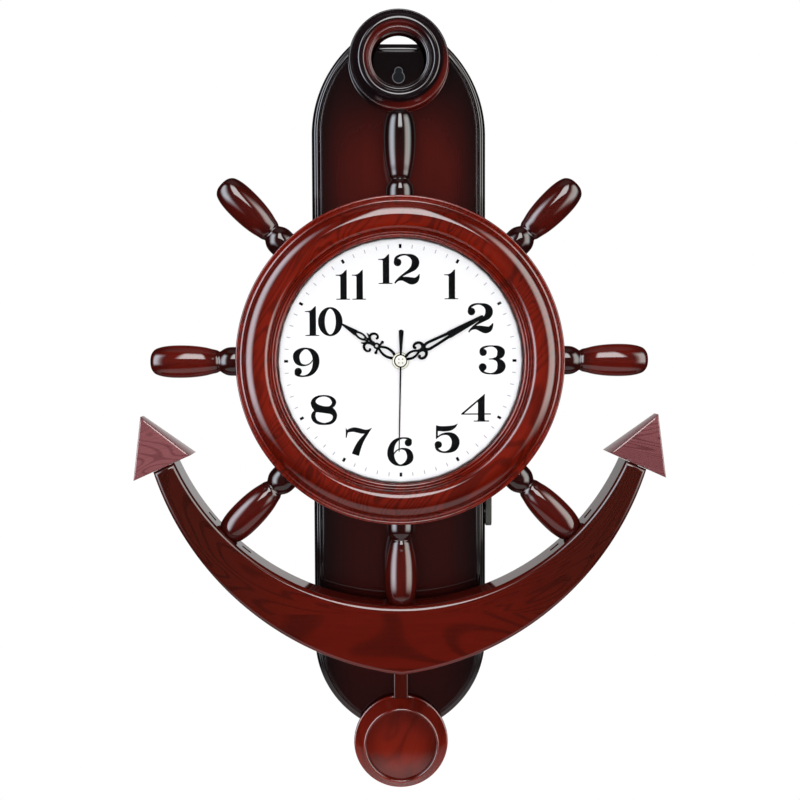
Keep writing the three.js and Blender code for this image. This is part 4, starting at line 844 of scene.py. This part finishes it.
def figure_six():
    return [ellipse(72.6, 81, 12.6, 12.6),
            *stroke([(82.6, 85, 5), (80.4, 90.2, 8), (69, 96, 7), (52.6, 97.2, 5.5), (36, 92.5, 10), (22, 80.5, 16.5),
                     (13.6, 62.5, 21.5), (11.6, 43.5, 23.5), (15.4, 25.7, 21.5), (27, 10.6, 14), (44.7, 3, 6),
                     (62.4, 8, 13), (76, 20.5, 21.5), (79, 33.6, 22.5), (74, 48.6, 19), (62.4, 58.2, 10),
                     (46.6, 60, 5), (31.8, 53.6, 4.5), (22.5, 42, 4)])], []


def figure_seven():
    return [[(0.2, 62.5), (4.2, 62.5), (5.2, 70), (8.4, 80), (8.4, 90), (3.8, 94), (2.9, 98), (0.2, 98)],
            *stroke([(3, 86, 7), (9, 87.4, 10.5), (17, 90.6, 14), (29, 92.6, 16.5), (43, 90.6, 18.5), (57, 87, 18),
                     (70, 85.4, 15), (83, 89, 9), (96, 98.4, 2)]),
            *stroke([(91, 93.5, 4), (82, 84, 9), (71, 70, 13), (58, 52, 18), (47.5, 33, 23), (40, 14, 26),
                     (35.2, 0, 28)])], []


def figure_eight():
    upper = flow([(73.5, 57.8), (73.5, 57.8), (81, 65), (84.9, 77), (78, 89.5), (62, 98), (42.4, 100), (22, 97.5),
                  (6, 88), (0, 74), (3.5, 60), (11, 49), (11, 49)], 5)
    lower = flow([(11, 49), (11, 49), (3.5, 40), (0.8, 28), (7, 12.5), (23, 2.5), (44, 0), (66, 2.5), (81, 13),
                  (87.5, 30), (84, 45), (73.5, 57.8), (73.5, 57.8)], 5)
    eyes = [flow([(16.4, 78), (23, 89), (41.6, 95), (61, 90), (70, 77), (67, 67.5), (59, 62.6), (41.6, 63.4),
                  (24, 69.5)], 5, True),
            flow([(20, 42.6), (36.3, 40.8), (64, 36.4), (72.7, 27.9), (66.8, 14.6), (44.3, 7.4), (23, 14.6),
                  (15.8, 27.9), (16.6, 38.5)], 5, True)]
    return [np.concatenate([upper[:-1], lower[:-1]])], eyes


def figure_nine():
    shapes, gaps = figure_six()
    return [np.array([90.0, 100.0]) - np.asarray(shape) for shape in shapes], gaps


def figure_zero():
    turn = np.linspace(0, 2 * math.pi, 64, endpoint=False)
    eye = np.stack([42 + 19 * np.sign(np.cos(turn)) * np.abs(np.cos(turn)) ** 1.12, 50 + 43.8 * np.sin(turn)], -1)
    return [ellipse(42, 50, 42, 50, 64)], [eye]


FIGURES = (figure_zero, figure_one, figure_two, figure_three, figure_four, figure_five, figure_six, figure_seven,
           figure_eight, figure_nine)
# Digit, left edge and foot from the dial's centre, and height.
NUMERALS = (
    (1, -20.0, 70.3, 27.3), (2, -6.1, 69.6, 28.0), (1, 40.2, 56.2, 27.3), (2, 61.5, 24.9, 27.7),
    (3, 71.7, -12.8, 26.7), (4, 55.4, -56.2, 25.7), (5, 31.0, -85.0, 27.1), (6, -12.5, -96.9, 26.7),
    (7, -50.7, -86.2, 25.1), (8, -82.5, -58.6, 27.6), (9, -98.4, -14.4, 26.9), (1, -87.1, 23.1, 27.3),
    (0, -75.3, 22.8, 26.6), (1, -58.8, 56.0, 27.3), (1, -44.1, 56.0, 27.3))
numeral_parts = []
for digit, left, foot, tall in NUMERALS:
    shapes, gaps = FIGURES[digit]()
    grow = tall / 100
    place_on = lambda outline: np.asarray(outline) * grow + (left, foot)
    numeral_parts.append(cut_out([place_on(s) for s in shapes], PRINT_FOOT, PRINT_TOP, [place_on(g) for g in gaps]))


def mottled(name, dark, light, scale, rough, spread, **others):
    """A finish that drifts between two colours, duller where it is lighter; others are the shader's constants."""
    finish, tone, shader = new_finish(name)
    speck = tone.here().noise(scale, 2.0)
    dress(shader, {"Base Color": speck.between(dark, light), "Roughness": rough + spread * speck, **others})
    return finish


ink_finish = mottled("black_ink", (5, 5, 6), (14, 14, 15), 1500.0, 0.5, 0.1, **{"Specular IOR Level": 0.015})
fit(make("numerals", numeral_parts), ink_finish, "clock", "black_paint")


def tick(minute, radius, long, wide):
    """A bar across the minute track, its length along the radius."""
    turn = math.radians(90 - 6 * minute)
    out, along = np.array([math.cos(turn), math.sin(turn)]), np.array([-math.sin(turn), math.cos(turn)])
    ends = ((-long, -wide), (long, -wide), (long, wide), (-long, wide))
    return [radius * out + a / 2 * out + b / 2 * along for a, b in ends]


hour_marks = [cut_out([tick(m, 104.7, 3.7, 2.4)], PRINT_FOOT, PRINT_TOP) for m in range(0, 60, 5)]
minute_marks = [cut_out([tick(m, 104.7, 3.5, 0.8)], PRINT_FOOT, PRINT_TOP) for m in range(60) if m % 5]
grey_finish = mottled("grey_ink", (150, 150, 158), (190, 190, 198), 1200.0, 0.5, 0.1)
fit(make("hour_marks", hour_marks), ink_finish, "clock", "black_paint")
fit(make("minute_ticks", minute_marks), grey_finish, "clock", "white_paint")


# Glass: a flat pane cut round with ground edges, held against the rim's lip by the spacer ring.
pane = make("glass_pane", [skin(turned([(0, 64.5), (113.9, 64.5), (114.2, 64.8), (114.2, 66.2), (113.9, 66.5),
                                        (0, 66.5)], 200))])
glass_finish, tone, shader = new_finish("window_glass")
smear = tone.here().noise(25.0, 2.0)
dress(shader, {"Base Color": smear.between((24, 34, 34), (34, 44, 44)),
               "Roughness": 0.01 + 0.02 * smear, "Alpha": 0.03 + 0.01 * smear, "Specular IOR Level": 0.5})
fit(pane, glass_finish, "clock", "clear_glass", "dial_glass")


# Hands: pressed from thin sheet and painted black. The hour hand has a teardrop loop, knobs, two curls, thorns,
# an open leaf and a blade; the minute hand a leaf, two curls and a long slot; the second hand a weighted tail.
HOUR_Z, MINUTE_Z, SECOND_Z, SHEET = 59.2, 60.5, 61.8, 0.5
HOUR_TURN, MINUTE_TURN, SECOND_TURN = 302.3, 61.8, 181.2
BOLD = 1.6


def strand(points, steps=6):
    """A pen stroke with all its widths raised by one share, which sets how bold the scroll work is."""
    return stroke([(x, y, BOLD * w) for x, y, w in points], steps)


def both_sides(points, steps=6):
    """A stroke and its mirror image across the hand's middle line."""
    mirrored_points = [(-x, y, w) for x, y, w in points]
    return strand(points, steps) + strand(mirrored_points, steps)


def knobs(x, y, radius):
    return [ellipse(x, y, radius, radius), ellipse(-x, y, radius, radius)]


def turned_hand(part, degrees):
    """A hand drawn pointing to twelve, turned clockwise about the arbor."""
    points, faces = part
    c, s = math.cos(math.radians(-degrees)), math.sin(math.radians(-degrees))
    x, y, z = points.T
    return np.stack([x * c - y * s, x * s + y * c, z], -1), faces


hour_shapes = [
    ellipse(0, 0, 7.8, 7.8),
    *both_sides([(1.0, 6.4, 1.7), (2.6, 9.4, 1.6), (3.5, 13.5, 1.5), (3.2, 17.6, 1.4), (1.8, 21.2, 1.3),
                 (0.2, 23.9, 1.3)]),
    *strand([(-5.4, 23.2, 1.3), (-2.6, 23.7, 1.2), (0, 24.1, 1.6), (2.6, 23.7, 1.2), (5.4, 23.2, 1.3)]),
    *knobs(5.6, 23.2, 1.45), ellipse(0, 25.9, 3.0, 3.0),
    *strand([(0, 28, 2.2), (0, 30.2, 2.6), (0, 32, 2.0)]),
    *both_sides([(0.4, 30.6, 1.8), (1.6, 33.6, 1.4), (3.4, 35.6, 1.5), (6.2, 35.6, 1.5), (8.3, 33.6, 1.4),
                 (8.7, 31, 1.3), (7.6, 29.2, 1.2), (6.2, 28.9, 1.3)]),
    *knobs(5.9, 29.3, 1.15),
    *both_sides([(2.6, 35.2, 1.6), (4.0, 36.6, 1.2), (5.2, 39.6, 0.5)]),
    *both_sides([(0.1, 31.8, 1.6), (1.7, 34.1, 1.5), (0.1, 37.0, 1.6)]),
    *both_sides([(0.1, 37.4, 1.7), (1.7, 39.6, 1.2), (2.3, 42.8, 1.15), (1.8, 46.2, 1.2), (0.6, 49, 1.5)]),
    *strand([(0, 48, 3.4), (0, 51, 3.0), (0, 57, 2.0), (0, 61.5, 1.35), (0, 63.4, 0.9)])]
minute_shapes = [
    ellipse(0, 0, 5.9, 5.9),
    *both_sides([(0.9, 4.8, 1.6), (2.3, 8.6, 1.5), (2.8, 11.6, 1.4), (2.2, 15.2, 1.3), (0.7, 18.4, 1.4),
                 (0.1, 20.2, 1.5)]),
    *strand([(0, 18.6, 1.9), (0, 21, 2.1), (0, 23.4, 3.0)]), ellipse(0, 23.9, 2.5, 2.2),
    *both_sides([(1.0, 24.0, 2.4), (3.8, 24.5, 1.9), (6.3, 23.2, 1.6), (7.5, 20.7, 1.6), (7.1, 18.0, 1.5),
                 (5.5, 16.6, 1.4), (4.2, 17.0, 1.5)]),
    *knobs(4.3, 17.3, 1.35),
    *both_sides([(0.8, 24.2, 2.2), (2.3, 26.4, 1.7), (2.95, 29.5, 1.6), (2.6, 36, 1.6), (2.0, 44, 1.6),
                 (1.3, 52, 1.9)]),
    *strand([(0, 50, 4.2), (0, 54, 4.0), (0, 62, 3.5), (0, 72, 2.9), (0, 81, 2.3), (0, 84.8, 1.9), (0, 86, 1.0)])]
second_shapes = [
    ellipse(0, 0, 4.5, 4.5),
    *stroke([(0, -27.6, 4.7), (0, -22, 3.9), (0, -12, 2.5), (0, -5, 1.8), (0, 5, 1.6), (0, 30, 1.35), (0, 60, 1.15),
             (0, 83, 0.95)]),
    ellipse(0, -27.3, 1.95, 1.2)]
enamel_finish = mottled("black_hand_paint", (3, 3, 4), (8, 8, 9), 700.0, 0.36, 0.12,
                        **{"Specular IOR Level": 0.04})
for name, shapes, z, turn_by, body, bore_r, holes in (
        ("hour_hand_cut", hour_shapes, HOUR_Z, HOUR_TURN, "hours", 2.5, [ellipse(0, 25.9, 1.35, 1.35, 20)]),
        ("minute_hand_cut", minute_shapes, MINUTE_Z, MINUTE_TURN, "minutes", 1.55, []),
        ("second_hand_cut", second_shapes, SECOND_Z, SECOND_TURN, "seconds", 0.85, [])):
    sheet = cut_out(shapes, z, z + SHEET, [ellipse(0, 0, bore_r, bore_r, 24), *holes])
    hand = make(name, [turned_hand(sheet, turn_by)])
    fit(hand, enamel_finish, body, "black_paint", name[:-4])

# The hour hand's boss is a bare brass collar, and an ivory cap closes the arbor.
brass_finish, tone, shader = new_finish("brass")
place = tone.here()
brushed = place.scaled(900.0, 60.0, 900.0).noise(1.0, 3.0)
tarnish = place.noise(160.0, 2.0)
dress(shader, {"Base Color": (0.5 * brushed + 0.5 * tarnish).between((170, 140, 74), (226, 200, 128)),
               "Metallic": 1.0, "Roughness": 0.26 + 0.14 * brushed})
collar = make("hour_collar", [skin(turned([(6.0, 59.6), (7.5, 59.6), (7.5, 59.9), (7.3, 60.1), (6.2, 60.1),
                                           (6.0, 59.9)], 72), True)])
# The collar's pale, barely metallic colour is a painted sheen standing in for the brass's bright reflection.
collar_painted_sheen = mottled("brass_painted_sheen", (236, 230, 206), (250, 247, 232), 500.0, 0.4, 0.1, Metallic=0.1)
fit(collar, collar_painted_sheen, "hours", "brass")
ivory_finish, tone, shader = new_finish("ivory_cap")
cloud = tone.here().noise(260.0, 2.0)
place = tone.here()
# The four punch dents are painted brown-grey, a painted shade in them.
sideways, high = abs(place.axis("X")) - 0.0017, abs(place.axis("Z") + HANG / 1000) - 0.0017
dent_painted_shade = 1 - ((sideways * sideways + high * high) ** 0.5).rise(0.0003, 0.0009)
ivory = cloud.between((232, 230, 220), (248, 247, 240))
dress(shader, {"Base Color": (0.85 * dent_painted_shade).mix(ivory, linear(92, 86, 78)), "Roughness": 0.25 + 0.08 * cloud,
               "Coat Weight": 0.4, "Coat Roughness": 0.08})
cap_profile = flow([(0, 62.6), (0, 62.6), (4.7, 62.6), (4.7, 62.6), (5.0, 62.8), (5.0, 63.1), (4.75, 63.5),
                    (3.9, 63.8), (2.4, 63.96), (0, 64), (0, 64)], 4)
cap = make("arbor_cap", [skin(turned(cap_profile, 72))])
dent_line, dent_way = [(0, 62.95), (0.5, 63.0), (0.72, 64.3), (0, 64.3)], 2.4 * 0.71
carve(cap, [make("dent", [skin(turned(dent_line, 16, dent_way * x, dent_way * y))]) for x, y in CORNERS])
fit(cap, ivory_finish, "seconds", "ivory_plastic", "hand_cap")


# Pendulum rod and bob: a flat bar with bevelled edges, and a turned disc with a rim, a groove and a low dome,
# cut out behind for the bar. Both are stained dark red and lacquered.
ROD_HALF, ROD_TOP, ROD_FOOT, ROD_BACK, ROD_FRONT = 6.9, -95.0, -393.0, 21.8, 26.8
BOB_Y, BOB_R, BOB_BACK, BOB_FRONT = -366.0, 45.0, 21.8, 37.8


def rod_outline(inset):
    return rounded(-ROD_HALF + inset, ROD_HALF - inset, ROD_FOOT + inset, ROD_TOP - inset, 0.8, 4)


rod_edge = ((1.2, 0), (0.9, 0.1), (0.1, 0.9), (0, 1.2))
rod = make("swing_rod", eased_slab(rod_outline, rod_edge, ROD_BACK, ROD_FRONT))
grain_along(rod, lambda x, y: y, lambda x, y: x)
rod_finish, tone, shader = new_finish("rod_lacquer")
_, fibre, _, moved = timber(tone, 8.0, 6.0, 31.0)
lacquer(shader, (0.2 + 0.6 * fibre).between((30, 7, 4), (80, 18, 10)), 0.1 + 0.06 * fibre, moved)
fit(rod, rod_finish, "pendulum", "rosewood_dark", "pendulum_rod")

bob_flank = [(3, 21.8), (3, 21.8), (0.9, 22.4), (0, 23.6), (0, 24.4), (0.25, 24.9), (0.7, 25.2), (1.1, 25.4),
             (1.1, 25.4), (3.6, 29.1), (6.2, 32.8)]
bob_face = [(8.5, 1.6), (9.4, 0.5), (10.3, 0), (11.1, 0.2), (11.9, 1.1), (12.5, 2.4), (12.6, 3.1), (12.6, 3.1),
            (13.6, 3.05), (17, 2.8), (0.55 * BOB_R, 2.3), (0.8 * BOB_R, 1.9), (BOB_R, 1.8), (BOB_R, 1.8)]
bob_profile = flow([(0, BOB_BACK), (0, BOB_BACK), *[(BOB_R - inset, z) for inset, z in bob_flank],
                    *[(BOB_R - inset, BOB_FRONT - drop) for inset, drop in bob_face]], 5)
bob = make("bob", [skin(turned(bob_profile, 192, 0, BOB_Y))])
slot_outline = np.array([(-7.2, -393.3), (7.2, -393.3), (7.2, BOB_Y + BOB_R + 1),
                         (-7.2, BOB_Y + BOB_R + 1)])
carve(bob, [make("rod_slot", side_slab(slot_outline, 20.8, 27.1))])
grain_along(bob, lambda x, y: y + 0.25 * x, lambda x, y: x - 0.25 * y)
bob_finish, tone, shader = new_finish("bob_lacquer")
level, fibre, patch, moved = timber(tone, 3.0, 6.0, 43.0)
shade = 0.4 * patch.rise(0.25, 0.75) + 0.36 * fibre + 0.26 * level.rise(-0.2, 0.7)
place = tone.here()
# The face is painted lighter low down, a painted reflection, and darker from 14 mm out towards its rim, leaving a
# painted glow in its middle.
lower = 1 - place.axis("Z").rise(-0.665, -0.615)
radius = place.shifted(0, 0, (HANG - BOB_Y) / 1000).scaled(1, 0, 1).length()
shade = shade * (1 - 0.5 * radius.rise(0.014, 0.031) * (1 - radius.rise(0.0335, 0.0355)))
wood_tone_and_painted_glow = lower.between((112, 26, 15), (126, 32, 17))
lacquer(shader, shade.mix(linear(40, 8, 5), wood_tone_and_painted_glow), 0.1 + 0.06 * fibre, moved)
fit(bob, bob_finish, "pendulum", "rosewood_dark", "pendulum_bob")


# Side bracket: an olive painted steel angle on the board's right edge, its foot reaching out level with the
# board's face. It is cut from bar with its corners rounded and screwed on from the side.
def lay_side(part):
    """A slab drawn with its length up and its depth as x is stood on the board's edge."""
    points, faces = part
    return np.stack([points[:, 2], points[:, 1], points[:, 0]], -1), faces


EASE = 0.7
bracket_edge = [(EASE * inset, EASE * z) for inset, z in ((1, 0), (0.62, 0.08), (0.29, 0.29), (0.08, 0.62), (0, 1))]
strap_outline = lambda inset: rounded(3 + inset, 15 - inset, -160 + inset, -52 - inset, 5 - inset)
foot_outline = lambda inset: rounded(82.8 + inset, 103.3 - inset, -78 + inset, -52 - inset, 1.6 - inset)
strap_parts = eased_slab(strap_outline, bracket_edge, 82.8, 88.3)
bracket = make("bracket_strap", [lay_side(part) for part in strap_parts])
foot_piece = make("foot", eased_slab(foot_outline, bracket_edge, 12.5, 18.0))
carve(bracket, [foot_piece], "UNION")
olive_finish, tone, shader = new_finish("olive_paint")
place = tone.here()
orange_peel = place.noise(420.0, 3.0)
rub = place.noise(60.0, 4.0, 0.6).rise(0.55, 0.75)
bump = tone.node("Bump", {"Strength": 0.15, "Distance": 0.0003, "Height": orange_peel})
dress(shader, {"Base Color": (0.3 * orange_peel + 0.4 * rub).between((46, 47, 40), (92, 92, 80)),
               "Roughness": 0.42 + 0.15 * orange_peel, "Normal": bump})
fit(bracket, olive_finish, "clock", "olive_paint", "side_bracket")


# Screws: zinc plated countersunk heads with a cross recess, behind the board where they hold the wheel and the
# ring, on the bracket's side and at the corners of the movement's cover.
steel_finish, tone, shader = new_finish("zinc_steel")
place = tone.here()
brushed = place.scaled(300.0, 1500.0, 300.0).noise(1.0, 3.0)
bloom = place.noise(220.0, 2.0)
dress(shader, {"Base Color": (0.6 * bloom + 0.4 * brushed).between((138, 141, 146), (205, 208, 212)),
               "Metallic": 1.0, "Roughness": 0.28 + 0.16 * brushed})


def screw(name, head_r, shank_r, head, length, where):
    """A screw along z, the face of its head at 0, with a cross recess of two bars; where lays it in its place."""
    line = [(0, 0), (head_r - 0.25, 0), (head_r, 0.2), (head_r, 0.35), (shank_r, head), (shank_r, length - 2),
            (0.2, length), (0, length)]
    long, wide = 0.55 * head_r, 0.13 * head_r
    bars = [[(-long, -wide), (long, -wide), (long, wide), (-long, wide)],
            [(-wide, -long), (wide, -long), (wide, long), (-wide, long)]]
    shaft, cross = skin(turned(line, 32)), cut_out(bars, -1, 0.45 * head)
    made = make(name, [(where(shaft[0]), shaft[1])])
    carve(made, [make("cross", [(where(cross[0]), cross[1])])])
    fit(made, steel_finish, "clock", "steel")


BRACKET_SCREWS, BRACKET_FACE, BOARD_MIDDLE = (-92, -146), 88.5, 9
BOARD_SINK, COVER_BACK = 0.25, 33.45
COVER_SCREWS = ((-29.5, 32.5), (29.5, 32.5), (-29.5, -40.5), (29.5, -40.5))
for number, (x, y) in enumerate(BOARD_SCREWS + RING_SCREWS):
    screw(f"board_screw_{number + 1}", 4.0, 1.9, 2.5, 30, lambda p, x=x, y=y: p + (x, y, BOARD_SINK))
for number, y in enumerate(BRACKET_SCREWS):
    screw(f"bracket_screw_{number + 1}", 3.6, 1.6, 2.2, 22,
          lambda p, y=y: np.stack([BRACKET_FACE - p[:, 2], y + p[:, 1], BOARD_MIDDLE + p[:, 0]], -1))
for number, (x, y) in enumerate(COVER_SCREWS):
    screw(f"cover_screw_{number + 1}", 1.9, 0.8, 1.0, 5, lambda p, x=x, y=y: p + (x, y, COVER_BACK))


# The movement and the smaller fittings keep their own solids: nylon wheels, a steel rotor and stator, copper
# coils, brass plate and strap, a dark plastic case, a green circuit, a battery in its sleeve and beech dowels.
def speckled(name, dark, light, rough, scale, metal=0.0, bump=0.1, stretch=(1, 1, 1)):
    """A finish that drifts between two colours with fine unevenness."""
    finish, tone, shader = new_finish(name)
    where = tone.here().scaled(*stretch)
    drift = where.noise(scale / 6, 2.0)
    fine = where.noise(scale, 3.0)
    height = tone.node("Bump", {"Strength": bump, "Distance": 0.0002, "Height": fine})
    dress(shader, {"Base Color": (0.5 * drift + 0.5 * fine).between(dark, light), "Metallic": metal,
                   "Roughness": rough + 0.12 * fine, "Normal": height})
    return finish


nylon = speckled("white_nylon", (214, 210, 196), (238, 235, 224), 0.35, 900)
plastic = speckled("dark_plastic", (20, 21, 23), (38, 39, 42), 0.42, 2400, bump=0.3)
board_green = speckled("green_circuit", (18, 66, 38), (38, 104, 60), 0.35, 500)
sleeve = speckled("battery_sleeve", (30, 52, 104), (52, 84, 150), 0.25, 300)
fibre_board = speckled("hardboard", (96, 68, 42), (150, 112, 74), 0.75, 700, bump=0.4)
beech = speckled("beech", (176, 132, 88), (214, 174, 126), 0.6, 260, stretch=(4, 4, 0.4), bump=0.3)
spacer_black = speckled("spacer_stain", (30, 10, 9), (62, 20, 16), 0.3, 300)
copper = speckled("copper_wire", (120, 52, 20), (206, 112, 60), 0.3, 1200, metal=1.0, bump=0.6, stretch=(1, 1, 6))
PLAIN = (
    (nylon, "seconds_wheel third_wheel centre_wheel motion_wheel hour_wheel intermediate_wheel set_knob "
            "pendulum_hanger"),
    (steel_finish, "rotor stator contact_plus contact_minus pivot_clip pendulum_magnet"),
    (brass_finish, "centre_nut middle_plate pendulum_strap"),
    (plastic, "movement_case movement_cover"), (copper, "stepper_coil pendulum_coil"),
    (board_green, "circuit_board"), (sleeve, "battery"), (fibre_board, "dial_board"), (spacer_black, "dial_spacer"),
    (beech, "arrow_dowel_left arrow_dowel_right"))
for finish, names in PLAIN:
    for name in names.split():
        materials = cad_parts[name].data.materials
        materials.clear()
        materials.append(finish)
